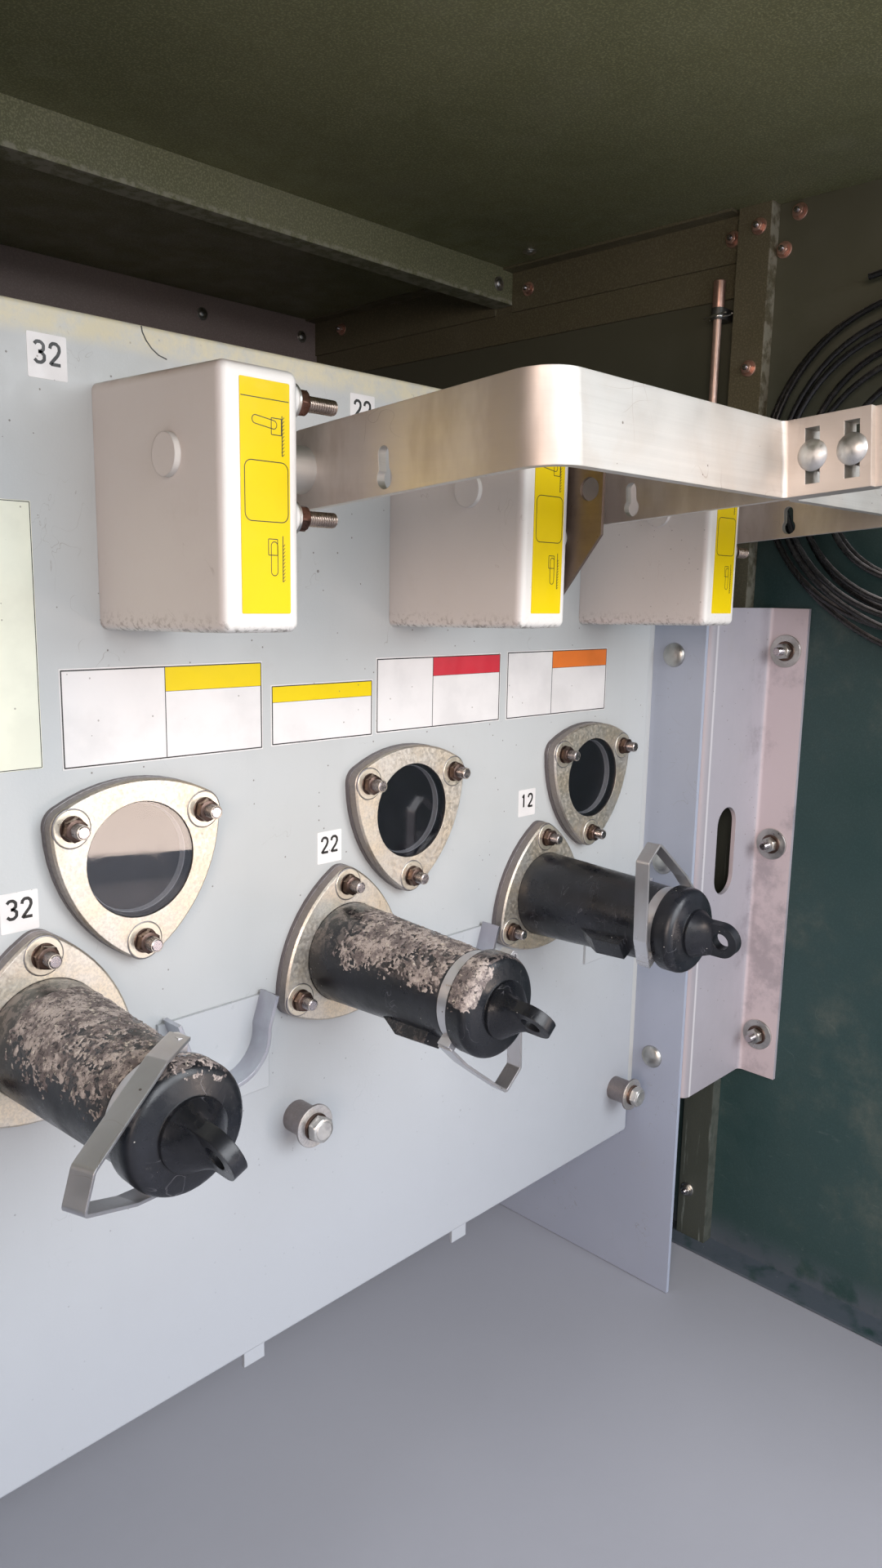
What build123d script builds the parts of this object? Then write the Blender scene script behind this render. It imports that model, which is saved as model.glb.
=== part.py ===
from build123d import *
import os
from math import atan2, cos, degrees, radians, sin, sqrt

# Two-way, three-phase pad-mounted switchgear, open at the front.
# X runs along the row of phases, Y into the tank, Z up.
# The origin is on the floor at the middle of the cabinet, in the plane of the front plate.

# ways and their phases
phase_pitch = 254.0
middle_shift = 19.5
half_way = 1.5 * phase_pitch
ways = {"1": middle_shift - half_way, "2": middle_shift + half_way}
phases = {"c": -phase_pitch, "b": 0.0, "a": phase_pitch}

# widths from the front plate outwards
plate_end_margin = 5.0
tank_side_margin = 15.0
tank_side_gap = 131.0
plate_half_width = 3 * phase_pitch + plate_end_margin
tank_half_width = plate_half_width + tank_side_margin
cabinet_half_width = tank_half_width + tank_side_gap

# cabinet
cabinet_half_depth = 740.0
cabinet_height = 1217.0
sheet = 3.0
floor_flange = 38.0
front_lip = 25.0
roof_overhang = 10.0
roof_lip = 34.0
rail_height = 42.0
rail_shelf = 25.0
top_rail_height = 51.0
wall_fold_drop = 87.0
beam_y = 333.0
beam_depth = 30.0
post_width = 39.0
post_stand_off = 17.0
post_back_y = 1.0
post_rail_gap = 4.0

# tank, its front plate and legs
tank_depth = 480.0
tank_top = 961.0
tank_bottom = 215.0
tank_edge = 14.0
plate_thickness = 6.0
plate_corner = 4.0
plate_edge = 3.0
plate_bottom = 190.6
plate_top = 967.0
tab_width = 20.0
tab_drop = 14.0
tab_places = (-157.5, 86.5)
leg_thickness = 5.0
leg_front_y = -57.0
leg_back_y = 430.0
leg_top = 800.0
leg_foot = 40.0

# brackets between the legs and the cabinet walls
bracket_thickness = 5.0
bracket_bottom = 243.0
bracket_top = 792.0
bracket_leg_flange = 62.0
bracket_wall_flange = 48.0
bracket_bend = 8.0
bracket_slot_width = 40.0
bracket_slot_height = 100.0
bracket_slot_z = 523.0
bracket_slot_x = 52.5

# operator housings
housing_left = -17.0
housing_right = 39.0
housing_bottom = 774.0
housing_top = 927.0
housing_reach = 138.0
housing_draft = 1.0
housing_vertical_draft = 3.0
housing_edge = 6.0
shaft_y = -86.0
shaft_z = 877.0
shaft_radius = 15.0
shaft_collar_radius = 23.0
disc_radius = 12.5
disc_height = 4.0
stud_spread_y = 38.0
stud_spread_z = 33.0
stud_pad_radius = 10.0
stud_pad_x = 41.0

# swinging handle
handle_tilts = {"1": -80.4, "2": 4.6}
running_gap = 0.3
strap_width = 50.0
strap_thickness = 6.0
arm_x = 80.0
arm_eye_reach = 375.0
eye_radius = 12.5
link_reach = 200.0
link_end_reach = 262.0
link_large_bend = 22.0
link_small_bend = 7.0
keyhole_reach = 77.0
keyhole_offset = -9.5
keyhole_height = 25.0
keyhole_width = 9.0
keyhole_round = 6.5
slot_reach = 223.0
slot_pitch = 26.5
slot_width = 10.0
slot_height = 36.0
link_bolt_radius = 10.3
link_bolt_dome = 5.0
link_bolt_shank = 4.5

# lock plate beside the middle handle
lock_plate_thickness = 3.0
lock_plate_front = -165.0
lock_plate_top = 912.0
lock_plate_corner_z = 846.0
lock_plate_bottom = 797.0
lock_plate_bottom_y = -127.0
lock_plate_back = -100.0
lock_hole_y = -153.0
lock_hole_z = 879.0
lock_hole_radius = 8.5

# three-stud flanges of the windows and the bushings
window_z = 621.0
bushing_x = -71.5
bushing_z = 513.5
stud_circle = 56.6
flange_corner = 14.0
flange_side_reach = 55.0
flange_thickness = 9.0
pad_thickness = 4.0
pad_margin = 0.5
stud_radius = 4.7
spot_radius = 12.0
spot_depth = 1.0
glass_radius = 40.0
glass_recess = 5.0
glass_ring = 4.0

# insulating caps
cap_base_radius = 40.5
cap_base_length = 20.0
cap_end_radius = 34.5
cap_tube_end = 148.0
groove_radius = 33.0
groove_width = 12.0
head_radius = 38.0
head_end = 177.0
head_edge = 8.0
dome_end = 181.0
nose_radius = 21.0
nose_step = 3.0
nose_end = 200.0
eye_place = 208.0
eye_width = 30.0
eye_thickness = 9.0
eye_edge = 3.0
eye_hole = 7.5
eye_turns = {"c": 65.0, "b": 48.0, "a": 80.0}
lug_start = 80.0
lug_full = 102.0
lug_end = 131.0
lug_reach = 45.0
lug_half_width = 9.0
lug_turns = {"c": -60.0, "b": 30.0, "a": 60.0}

# bails over the caps, drawn about a cap's axis, from one end to the other
bail_points = ((-37.0, -27.0), (-44.0, -4.0), (-46.0, 66.0), (-30.0, 80.0), (14.0, 45.0), (31.0, 28.0))
bail_width = 13.0
bail_thickness = 2.0
bail_bend = 3.0
band_thickness = 1.2
band_width = 11.0
ear_width = 7.0
bail_turns = {"c": 114.0, "b": 180.0, "a": 0.0}
bail_swings = {"c": 30.0, "b": 0.0, "a": 0.0}

# parking stands
stand_x = 62.0
stand_width = 72.0
stand_depth = 20.0
stand_top = 499.0
stand_strap = 3.0
stand_plate_width = 96.0
stand_plate_bottom = 417.0
stand_plate_top = 495.0
stand_plate_thickness = 3.0
stand_u_bottom = 437.0
stand_flare = 8.0
stand_flare_z = 475.0
stand_flare_bend = 8.0

# ground bosses
boss_radius = 13.0
boss_length = 23.0
inner_boss_x = -115.5
inner_boss_z = 381.0
outer_boss_inset = 29.5
outer_boss_z = 253.0

# rod in its clips beside the tank
rod_radius = 4.5
rod_wall_gap = 22.0
rod_y = 17.0
rod_drop = 71.0
rod_top = cabinet_height - rod_drop
rod_length = 300.0
clip_half_height = 6.0
clip_inset = 35.0

# coil of cable on the right wall, on its hook
coil_y = -252.0
coil_drop = 292.0
coil_z = cabinet_height - coil_drop
coil_radius = 160.0
coil_half_band = 50.0
coil_half_thickness = 17.0
coil_wall_gap = 3.0
hook_width = 40.0
hook_thickness = 3.0
hook_lip = 22.0


def block(x, y, z):
    """A box between pairs of limits along each axis."""
    size = Box(x[1] - x[0], y[1] - y[0], z[1] - z[0], align=Align.MIN)
    return Pos(x[0], y[0], z[0]) * size


def along_y(x, y_from, y_to, z, radius):
    """A round bar parallel to Y."""
    length = y_to - y_from
    bar = Cylinder(radius, length, align=(Align.CENTER, Align.CENTER, Align.MIN))
    return Pos(x, y_from, z) * Rot(-90, 0, 0) * bar


def along_x(x_from, x_to, y, z, radius):
    """A round bar parallel to X."""
    length = x_to - x_from
    bar = Cylinder(radius, length, align=(Align.CENTER, Align.CENTER, Align.MIN))
    return Pos(x_from, y, z) * Rot(0, 90, 0) * bar


def strap(points, radii, width, thickness, width_direction):
    """A flat strap bent along a planar path of straight runs and arcs."""
    path = FilletPolyline(*points, radius=radii)
    start = Plane(origin=path @ 0, x_dir=width_direction, z_dir=path % 0)
    return sweep(start * Rectangle(width, thickness), path=path)


def mirrored(part):
    return mirror(part, about=Plane.YZ)


def pair(part):
    return Compound(children=[part, mirrored(part)])


def side_wall():
    inner = cabinet_half_width
    outer = inner + sheet
    depth = cabinet_half_depth + sheet
    panel = block((inner, outer), (-depth, depth), (0, cabinet_height))
    flange = block((inner - floor_flange, inner), (-depth, cabinet_half_depth), (0, sheet))
    lip = block((inner - front_lip, inner), (-depth, -cabinet_half_depth), (0, cabinet_height))
    return panel + flange + lip


def back_wall():
    half = cabinet_half_width
    near = cabinet_half_depth
    far = near + sheet
    panel = block((-half, half), (near, far), (0, cabinet_height))
    inner_half = half - floor_flange
    flange = block((-inner_half, inner_half), (near - floor_flange, near), (0, sheet))
    return panel + flange


def roof():
    half_x = cabinet_half_width + sheet + roof_overhang
    half_y = cabinet_half_depth + sheet + roof_overhang
    low = cabinet_height - roof_lip
    high = cabinet_height + sheet
    shell = block((-half_x, half_x), (-half_y, half_y), (low, high))
    inside_x = half_x - sheet
    inside_y = half_y - sheet
    hollow = block((-inside_x, inside_x), (-inside_y, inside_y), (low, cabinet_height))
    shell = fillet(shell.edges().filter_by(Axis.Z), 8.0)
    return shell - hollow


def roof_beam():
    half = cabinet_half_width - sheet
    low = cabinet_height - rail_height
    outer = block((-half, half), (beam_y, beam_y + beam_depth), (low, cabinet_height))
    groove_y = (beam_y + sheet, beam_y + beam_depth)
    groove = block((-half, half), groove_y, (low + sheet, cabinet_height - sheet))
    return outer - groove


def top_rail():
    wall = cabinet_half_width
    low = cabinet_height - top_rail_height
    fold_low = cabinet_height - wall_fold_drop
    start = post_back_y + post_rail_gap
    rail = block((wall - sheet, wall), (start, cabinet_half_depth), (fold_low, cabinet_height))
    for y in ((start, beam_y), (beam_y + beam_depth, cabinet_half_depth)):
        rail += block((wall - 2 * sheet, wall - sheet), y, (low, cabinet_height))
        shelf_x = (wall - rail_shelf, wall - 2 * sheet)
        rail += block(shelf_x, y, (cabinet_height - sheet, cabinet_height))
    return rail


def wall_post():
    wall = cabinet_half_width
    front = post_back_y - post_width
    outer = block((wall - post_stand_off, wall), (front, post_back_y), (sheet, cabinet_height))
    groove_x = (wall - post_stand_off + sheet, wall)
    groove_y = (front + sheet, post_back_y - sheet)
    groove = block(groove_x, groove_y, (sheet, cabinet_height))
    return outer - groove


def tank():
    body = block(
        (-tank_half_width, tank_half_width),
        (plate_thickness, plate_thickness + tank_depth),
        (tank_bottom, tank_top),
    )
    upper = body.faces().sort_by(Axis.Z)[-1]
    return fillet(upper.edges().filter_by(Axis.X), tank_edge)


def front_plate():
    half = plate_half_width
    plate = block((-half, half), (0, plate_thickness), (plate_bottom, plate_top))
    plate = fillet(plate.edges().filter_by(Axis.Y), plate_corner)
    top_edges = plate.edges().filter_by(Axis.X).group_by(Axis.Z)[-1]
    plate = fillet(top_edges.sort_by(Axis.Y)[0], plate_edge)
    tab_y = (plate_thickness - sheet, plate_thickness)
    for way in ways.values():
        for place in tab_places:
            reach = (way + place - tab_width / 2, way + place + tab_width / 2)
            plate += block(reach, tab_y, (plate_bottom - tab_drop, plate_bottom))
    return plate


def leg():
    near = tank_half_width
    far = near + leg_thickness
    panel = block((near, far), (leg_front_y, leg_back_y), (0, leg_top))
    foot = block((far, far + leg_foot), (0, leg_back_y), (0, leg_thickness))
    return panel + foot


def wall_bracket():
    half = bracket_thickness / 2
    leg_side = tank_half_width + leg_thickness + half
    wall_side = cabinet_half_width - half
    web_y = leg_front_y - half
    height = bracket_top - bracket_bottom
    middle = (bracket_top + bracket_bottom) / 2
    points = [
        (leg_side, web_y + bracket_leg_flange, middle),
        (leg_side, web_y, middle),
        (wall_side, web_y, middle),
        (wall_side, web_y - bracket_wall_flange, middle),
    ]
    body = strap(points, bracket_bend, height, bracket_thickness, (0, 0, 1))
    slot_x = leg_side + bracket_slot_x
    slot = SlotOverall(bracket_slot_height, bracket_slot_width, rotation=90)
    cutter = extrude(Plane.XZ * slot, amount=bracket_thickness * 2, both=True)
    return body - Pos(slot_x, web_y, bracket_slot_z) * cutter


def housing(phase):
    left = housing_left
    right = housing_right
    back = Plane.XZ * Pos((left + right) / 2, (housing_bottom + housing_top) / 2)
    width = right - left
    height = housing_top - housing_bottom
    back_face = back * Rectangle(width, height)
    front = Pos(0, -housing_reach, 0) * back
    front_width = width - 2 * housing_draft
    front_height = height - 2 * housing_vertical_draft
    front_face = front * Rectangle(front_width, front_height)
    body = loft([back_face, front_face])
    rear = body.faces().sort_by(Axis.Y)[-1]
    sharp = [edge for edge in body.edges() if edge not in rear.edges()]
    body = fillet(sharp, housing_edge)
    slope = housing_draft / housing_reach
    disc_x = left + slope * -shaft_y
    body += along_x(disc_x - disc_height, disc_x + 8, shaft_y, shaft_z, disc_radius)
    body += along_x(right - housing_draft, stud_pad_x, shaft_y, shaft_z, shaft_collar_radius)
    for side_y in (-stud_spread_y, stud_spread_y):
        for side_z in (-stud_spread_z, stud_spread_z):
            pad_y = shaft_y + side_y
            pad_z = shaft_z + side_z
            body += along_x(right - 10, stud_pad_x, pad_y, pad_z, stud_pad_radius)
    return Pos(phase, 0, 0) * body


def handle_place(part, way):
    """Turns a part modelled with level arms about the origin to its way's position."""
    tilted = Rot(-handle_tilts[way], 0, 0) * part
    return Pos(0, shaft_y, shaft_z) * tilted


def keyhole():
    """The lock opening of an arm at x = 0, cut across the strap."""
    top = keyhole_offset + keyhole_height / 2
    bottom = keyhole_offset - keyhole_height / 2
    depth = strap_thickness
    round_z = bottom + keyhole_round
    round_end = along_x(-depth, depth, -keyhole_reach, round_z, keyhole_round)
    half = keyhole_width / 2
    neck_y = (-keyhole_reach - half, -keyhole_reach + half)
    neck = block((-depth, depth), neck_y, (round_z, top - half))
    neck_end = along_x(-depth, depth, -keyhole_reach, top - half, half)
    return round_end + neck + neck_end


def link_slot(reach):
    half = slot_width / 2
    depth = strap_thickness
    return block((-depth, depth), (-reach - half, -reach + half), (-slot_height / 2, slot_height / 2))


def stub_shaft(arm_left):
    """The shaft welded to the left face of an arm, in the arm's own place."""
    length = arm_x - stud_pad_x - running_gap
    return along_x(arm_left - length, arm_left, 0, 0, shaft_radius)


def middle_arm(way):
    half = strap_width / 2
    plate = block((0, strap_thickness), (-arm_eye_reach, 0), (-half, half))
    plate += along_x(0, strap_thickness, 0, 0, half)
    plate += along_x(0, strap_thickness, -arm_eye_reach, 0, half)
    plate -= along_x(-1, strap_thickness + 1, -arm_eye_reach, 0, eye_radius)
    plate -= keyhole()
    for place in (0, 1):
        plate -= link_slot(slot_reach + place * slot_pitch)
    plate += stub_shaft(0)
    return handle_place(Pos(arm_x, 0, 0) * plate, way)


def side_link():
    """The strap of phase c: its arm, the run across and the end on the middle arm."""
    middle = strap_thickness / 2
    arm = -phase_pitch + arm_x + middle
    end = arm_x - middle
    points = [(arm, 0, 0), (arm, -link_reach, 0), (end, -link_reach, 0), (end, -link_end_reach, 0)]
    radii = [link_large_bend, link_small_bend]
    body = strap(points, radii, strap_width, strap_thickness, (0, 0, 1))
    half = strap_width / 2
    body += along_x(arm - middle, arm + middle, 0, 0, half)
    body -= Pos(arm, 0, 0) * keyhole()
    for place in (0, 1):
        body -= Pos(end, 0, 0) * link_slot(slot_reach + place * slot_pitch)
    return body


def link_c(way):
    return handle_place(side_link() + stub_shaft(arm_x - phase_pitch), way)


def link_a(way):
    """The other side strap is its mirror image about the middle arm."""
    middle_plane = Plane.YZ.offset(arm_x + strap_thickness / 2)
    body = mirror(side_link(), about=middle_plane)
    return handle_place(body + stub_shaft(arm_x + phase_pitch), way)


def link_bolts(way):
    """Two carriage bolts through the slots, with their domes on the left link."""
    bolts = []
    left = arm_x - strap_thickness
    right = arm_x + 2 * strap_thickness
    for place in (0, 1):
        reach = -slot_reach - place * slot_pitch
        dome_radius = (link_bolt_radius ** 2 + link_bolt_dome ** 2) / (2 * link_bolt_dome)
        ball = Pos(left - link_bolt_dome + dome_radius, reach, 0) * Sphere(dome_radius)
        limit = block((left - link_bolt_dome, left), (reach - 20, reach + 20), (-20, 20))
        dome = ball & limit
        shank = along_x(left, right, reach, 0, link_bolt_shank)
        nut = extrude(Plane.YZ * RegularPolygon(9.5, 6), amount=8.0)
        bolts.append(dome + shank + Pos(right, reach, 0) * nut)
    return handle_place(Compound(children=bolts), way)


def lock_plate():
    outline = Polyline(
        (lock_plate_back, lock_plate_bottom),
        (lock_plate_bottom_y, lock_plate_bottom),
        (lock_plate_front, lock_plate_corner_z),
        (lock_plate_front, lock_plate_top),
        (lock_plate_back, lock_plate_top),
        close=True,
    )
    plate = extrude(Plane.YZ * make_face(outline), amount=lock_plate_thickness)
    far = lock_plate_thickness
    plate -= along_x(0, far, lock_hole_y, lock_hole_z, lock_hole_radius)
    collar = shaft_collar_radius + 2
    plate -= along_x(0, far, shaft_y, shaft_z, collar)
    return Pos(stud_pad_x, 0, 0) * plate


def rounded_triangle(growth=0.0):
    """Three bulged sides round the stud circle, apex down, corners rounded on the studs."""
    reach = flange_side_reach - flange_corner
    centre = (stud_circle ** 2 - reach ** 2) / (2 * reach - stud_circle)
    side_radius = centre + flange_side_reach
    outline = Circle(side_radius + growth)
    discs = []
    for turn in (90, 210, 330):
        x = centre * cos(radians(turn + 180))
        z = centre * sin(radians(turn + 180))
        discs.append(Pos(x, z) * outline)
    shape = discs[0] & discs[1] & discs[2]
    return fillet(shape.vertices(), flange_corner + growth)


def stud_places(apex_up):
    """Centres of the three studs about the middle of a flange."""
    first = 90 if apex_up else -90
    turns = [radians(first + 120 * step) for step in range(3)]
    return [(stud_circle * cos(turn), stud_circle * sin(turn)) for turn in turns]


def flange_solid(y_front, y_back, apex_up, growth=0.0):
    outline = rounded_triangle(growth)
    plane = Plane(origin=(0, y_back, 0), x_dir=(1, 0, 0), z_dir=(0, -1, 0))
    turn = 180 if apex_up else 0
    return extrude(plane * Rot(0, 0, turn) * outline, amount=y_back - y_front)


def three_stud_flange(bore, apex_up):
    """A flange with a bore, seen from the front, in front of its pad."""
    back = -pad_thickness
    front = back - flange_thickness
    body = flange_solid(front, back, apex_up)
    rim = body.faces().sort_by(Axis.Y)[0]
    body = chamfer(rim.edges(), 1.5)
    body -= along_y(0, front - 1, back + 1, 0, bore)
    for x, z in stud_places(apex_up):
        body -= along_y(x, front - 1, front + spot_depth, z, spot_radius)
        body += along_y(x, front - 16, front + spot_depth, z, stud_radius)
    return body


def mounting_pad(bore, apex_up):
    body = flange_solid(-pad_thickness, 0, apex_up, pad_margin)
    return body - along_y(0, -pad_thickness - 1, 1, 0, bore)


def window_flange(phase):
    return Pos(phase, 0, window_z) * three_stud_flange(glass_radius, False)


def window_pad(phase):
    return Pos(phase, 0, window_z) * mounting_pad(glass_radius, False)


def window_glass(phase):
    front = -pad_thickness - flange_thickness + glass_recess
    body = along_y(0, front, 0, 0, glass_radius - running_gap)
    body -= along_y(0, front - 1, front + 1.5, 0, glass_radius - glass_ring)
    return Pos(phase, 0, window_z) * body


def bushing_flange(phase):
    place = Pos(phase + bushing_x, 0, bushing_z)
    return place * three_stud_flange(cap_base_radius + running_gap, True)


def bushing_pad(phase):
    place = Pos(phase + bushing_x, 0, bushing_z)
    return place * mounting_pad(cap_base_radius + running_gap, True)


def cap(name):
    groove_end = cap_tube_end + groove_width
    nose_start = dome_end + nose_step
    profile = Polyline(
        (0, 0),
        (cap_base_radius, 0),
        (cap_base_radius, cap_base_length),
        (cap_end_radius, cap_tube_end),
        (groove_radius, cap_tube_end),
        (groove_radius, groove_end),
        (head_radius, groove_end),
        (head_radius, head_end),
        (nose_radius, dome_end),
        (nose_radius, nose_start),
        (0, nose_start),
        close=True,
    )
    face = make_face(profile)
    rim = face.vertices().sort_by_distance((head_radius, head_end, 0))[0]
    face = fillet(rim, head_edge)
    body = Rot(180, 0, 0) * revolve(face, axis=Axis.Y)
    half = eye_width / 2
    nose_base = Plane.XZ.offset(nose_start) * Circle(nose_radius)
    nose_tip = Plane.XZ.offset(nose_end) * RectangleRounded(eye_width, eye_thickness, eye_edge)
    eye = loft([nose_base, nose_tip])
    eye += block((-half, half), (-eye_place, -dome_end), (-eye_thickness / 2, eye_thickness / 2))
    eye += Pos(0, -eye_place, 0) * Cylinder(half, eye_thickness)
    eye -= Pos(0, -eye_place, 0) * Cylinder(eye_hole, eye_thickness * 2)
    body += Rot(0, eye_turns[name], 0) * eye
    outline = Polyline(
        (-lug_start, 0),
        (-lug_start, -cap_end_radius),
        (-lug_full, -lug_reach),
        (-lug_end, -lug_reach + 2),
        (-lug_end, 0),
        close=True,
    )
    lug = extrude(Plane.YZ * make_face(outline), amount=lug_half_width, both=True)
    body += Rot(0, lug_turns[name], 0) * lug
    return Pos(phases[name] + bushing_x, 0, bushing_z) * body


def bail(name):
    """A strap loop held at both ends by the band in a cap's groove, turned and swung."""
    y = -cap_tube_end - groove_width / 2
    loop = [(x, 0, z) for x, z in bail_points]
    body = strap(loop, bail_bend, bail_width, bail_thickness, (0, 1, 0))
    first = Vector(loop[0])
    last = Vector(loop[-1])
    chord = Axis((0, 0, 0), last - first)
    body = body.rotate(chord, bail_swings[name])
    outer = groove_radius + running_gap + band_thickness
    half = band_width / 2
    band = along_y(0, -half, half, 0, outer)
    band -= along_y(0, -half, half, 0, groove_radius + running_gap)
    for end in (first, last):
        reach = sqrt(end.X ** 2 + end.Z ** 2)
        turn = degrees(atan2(-end.Z, end.X))
        ear = block((outer - band_thickness / 2, reach), (-half, half), (-ear_width / 2, ear_width / 2))
        band += Rot(0, turn, 0) * ear
    body += band
    if name == "c":
        body = mirrored(body)
    body = Rot(0, -bail_turns[name], 0) * body
    return Pos(phases[name] + bushing_x, y, bushing_z) * body


def parking_stand(phase):
    half = stand_plate_width / 2
    plate_y = (-stand_plate_thickness, 0)
    body = block((-half, half), plate_y, (stand_plate_bottom, stand_plate_top))
    side = (stand_width - stand_strap) / 2
    bottom = stand_u_bottom + stand_strap / 2
    y = -stand_plate_thickness - stand_depth / 2
    points = [
        (-side - stand_flare, y, stand_top),
        (-side, y, stand_flare_z),
        (-side, y, bottom),
        (side, y, bottom),
        (side, y, stand_flare_z),
        (side + stand_flare, y, stand_top),
    ]
    bends = (stand_flare_bend, side - 2, side - 2, stand_flare_bend)
    body += strap(points, bends, stand_depth, stand_strap, (0, 1, 0))
    return Pos(phase + stand_x, 0, 0) * body


def ground_bosses():
    outer = plate_half_width - outer_boss_inset
    places = [(way + inner_boss_x, inner_boss_z) for way in ways.values()]
    places += [(-outer, outer_boss_z), (outer, outer_boss_z)]
    bosses = [along_y(x, -boss_length, 0, z, boss_radius) for x, z in places]
    return Compound(children=bosses)


def rod():
    bar = Cylinder(rod_radius, rod_length, align=(Align.CENTER, Align.CENTER, Align.MAX))
    return Pos(cabinet_half_width - rod_wall_gap, rod_y, rod_top) * bar


def rod_clips():
    clips = []
    rod_x = cabinet_half_width - rod_wall_gap
    for z in (rod_top - clip_inset, rod_top - rod_length + clip_inset):
        height = (z - clip_half_height, z + clip_half_height)
        width = rod_radius * 2 + 6
        arm = block((rod_x, cabinet_half_width), (rod_y - width / 2, rod_y + width / 2), height)
        ring = Cylinder(width / 2, 2 * clip_half_height)
        bore = Cylinder(rod_radius + 0.1, 4 * clip_half_height)
        clips.append(arm + Pos(rod_x, rod_y, z) * ring - Pos(rod_x, rod_y, z) * bore)
    return Compound(children=clips)


def coil():
    x = cabinet_half_width - coil_wall_gap - coil_half_thickness
    section = Plane.XZ * Pos(0, coil_radius) * Ellipse(coil_half_thickness, coil_half_band)
    ring = revolve(section, axis=Axis.X)
    return Pos(x, coil_y, coil_z) * ring


def coil_hook():
    """A bent strap from the wall that the coil hangs on, touching it near its edges."""
    inner = coil_radius - coil_half_band
    top = coil_z + sqrt(inner ** 2 - (hook_width / 2) ** 2) - running_gap
    middle = top - hook_thickness / 2
    wall = cabinet_half_width
    half = hook_thickness / 2
    tip_x = wall - coil_wall_gap - 2 * coil_half_thickness - 4
    points = [
        (wall - half, coil_y, middle - hook_width),
        (wall - half, coil_y, middle),
        (tip_x, coil_y, middle),
        (tip_x, coil_y, middle + hook_lip),
    ]
    return strap(points, hook_thickness, hook_width, hook_thickness, (0, 1, 0))


def in_phases(maker):
    """One copy of a part for each phase of a way."""
    return [maker(place) for place in phases.values()]


def in_way(way, parts):
    """Parts made about the middle phase of a way, moved to the way's place."""
    return [Pos(way, 0, 0) * solid for part in parts for solid in part.solids()]


def together(parts):
    """One node of solids that don't touch, or the solid itself where there is only one."""
    return parts[0] if len(parts) == 1 else Compound(children=parts)


nodes = {
    "side_wall_right": side_wall(),
    "side_wall_left": mirrored(side_wall()),
    "back_wall": back_wall(),
    "roof": roof(),
    "roof_beam": roof_beam(),
    "top_rails": pair(top_rail()),
    "wall_posts": pair(wall_post()),
    "tank": tank(),
    "front_plate": front_plate(),
    "leg_right": leg(),
    "leg_left": mirrored(leg()),
    "wall_bracket_right": wall_bracket(),
    "wall_bracket_left": mirrored(wall_bracket()),
    "ground_bosses": ground_bosses(),
    "prop_rod": rod(),
    "prop_rod_clips": rod_clips(),
    "cable_coil": coil(),
    "coil_hook": coil_hook(),
}
lock_plates = []
window_glasses = []
pads = []
for number, way in ways.items():
    for name, place in phases.items():
        nodes["housing_" + name + number] = Pos(way, 0, 0) * housing(place)
    way_parts = {
        "handle_arm_": [middle_arm(number)],
        "handle_link_left_": [link_c(number)],
        "handle_link_right_": [link_a(number)],
        "handle_bolts_": [link_bolts(number)],
        "window_flanges_": in_phases(window_flange),
        "bushing_flanges_": in_phases(bushing_flange),
        "caps_": [cap(name) for name in phases],
        "cap_bails_": [bail(name) for name in phases],
        "parking_stands_": in_phases(parking_stand),
    }
    for name, parts in way_parts.items():
        nodes[name + number] = together(in_way(way, parts))
    lock_plates += in_way(way, [lock_plate()])
    window_glasses += in_way(way, in_phases(window_glass))
    pads += in_way(way, in_phases(window_pad) + in_phases(bushing_pad))
nodes["lock_plates"] = together(lock_plates)
nodes["window_glasses"] = together(window_glasses)
nodes["flange_pads"] = together(pads)

os.makedirs("parts", exist_ok=True)
for name, part in nodes.items():
    export_step(part, os.path.join("parts", name + ".step"))
    print(name, "solids", len(part.solids()), "volume", round(part.volume))
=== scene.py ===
import math
import bpy
import numpy as np
from mathutils import Matrix, Vector


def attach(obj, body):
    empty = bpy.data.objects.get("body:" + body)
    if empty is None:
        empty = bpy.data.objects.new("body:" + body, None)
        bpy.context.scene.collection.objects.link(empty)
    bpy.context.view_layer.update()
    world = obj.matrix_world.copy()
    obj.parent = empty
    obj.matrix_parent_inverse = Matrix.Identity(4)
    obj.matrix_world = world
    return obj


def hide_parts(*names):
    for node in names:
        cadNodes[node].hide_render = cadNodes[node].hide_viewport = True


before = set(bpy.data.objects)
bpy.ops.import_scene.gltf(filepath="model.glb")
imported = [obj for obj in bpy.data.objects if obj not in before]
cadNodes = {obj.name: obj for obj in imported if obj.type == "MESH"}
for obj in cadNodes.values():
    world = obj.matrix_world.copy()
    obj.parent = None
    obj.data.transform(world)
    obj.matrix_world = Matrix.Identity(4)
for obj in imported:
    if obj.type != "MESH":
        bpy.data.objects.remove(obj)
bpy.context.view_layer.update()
mm = 0.001
print("frame loaded,", len(cadNodes), "nodes")

# places that the pieces share with the cabinet, in millimetres
cabinet = dict(wall=913.0, postFace=896.0, railFace=907.0, legFace=782.0, back=740.0,
               skin=(914.8, 741.5, 1218.5))
sides = ((1, "left"), (-1, "right"))  # the right wall's pieces face left
ways = {"1": -361.5, "2": 400.5}
phases = {"c": -254.0, "b": 0.0, "a": 254.0}
bushing = dict(x=-71.5, z=513.5)
window = dict(z=621.0, face=-13.0)


# camera: place in metres, angles in degrees, lens in millimetres
view = dict(place=(-0.21334, -0.6428, 0.80093), yaw=45.794, pitch=10.124, roll=1.033, lens=24.434)


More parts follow.
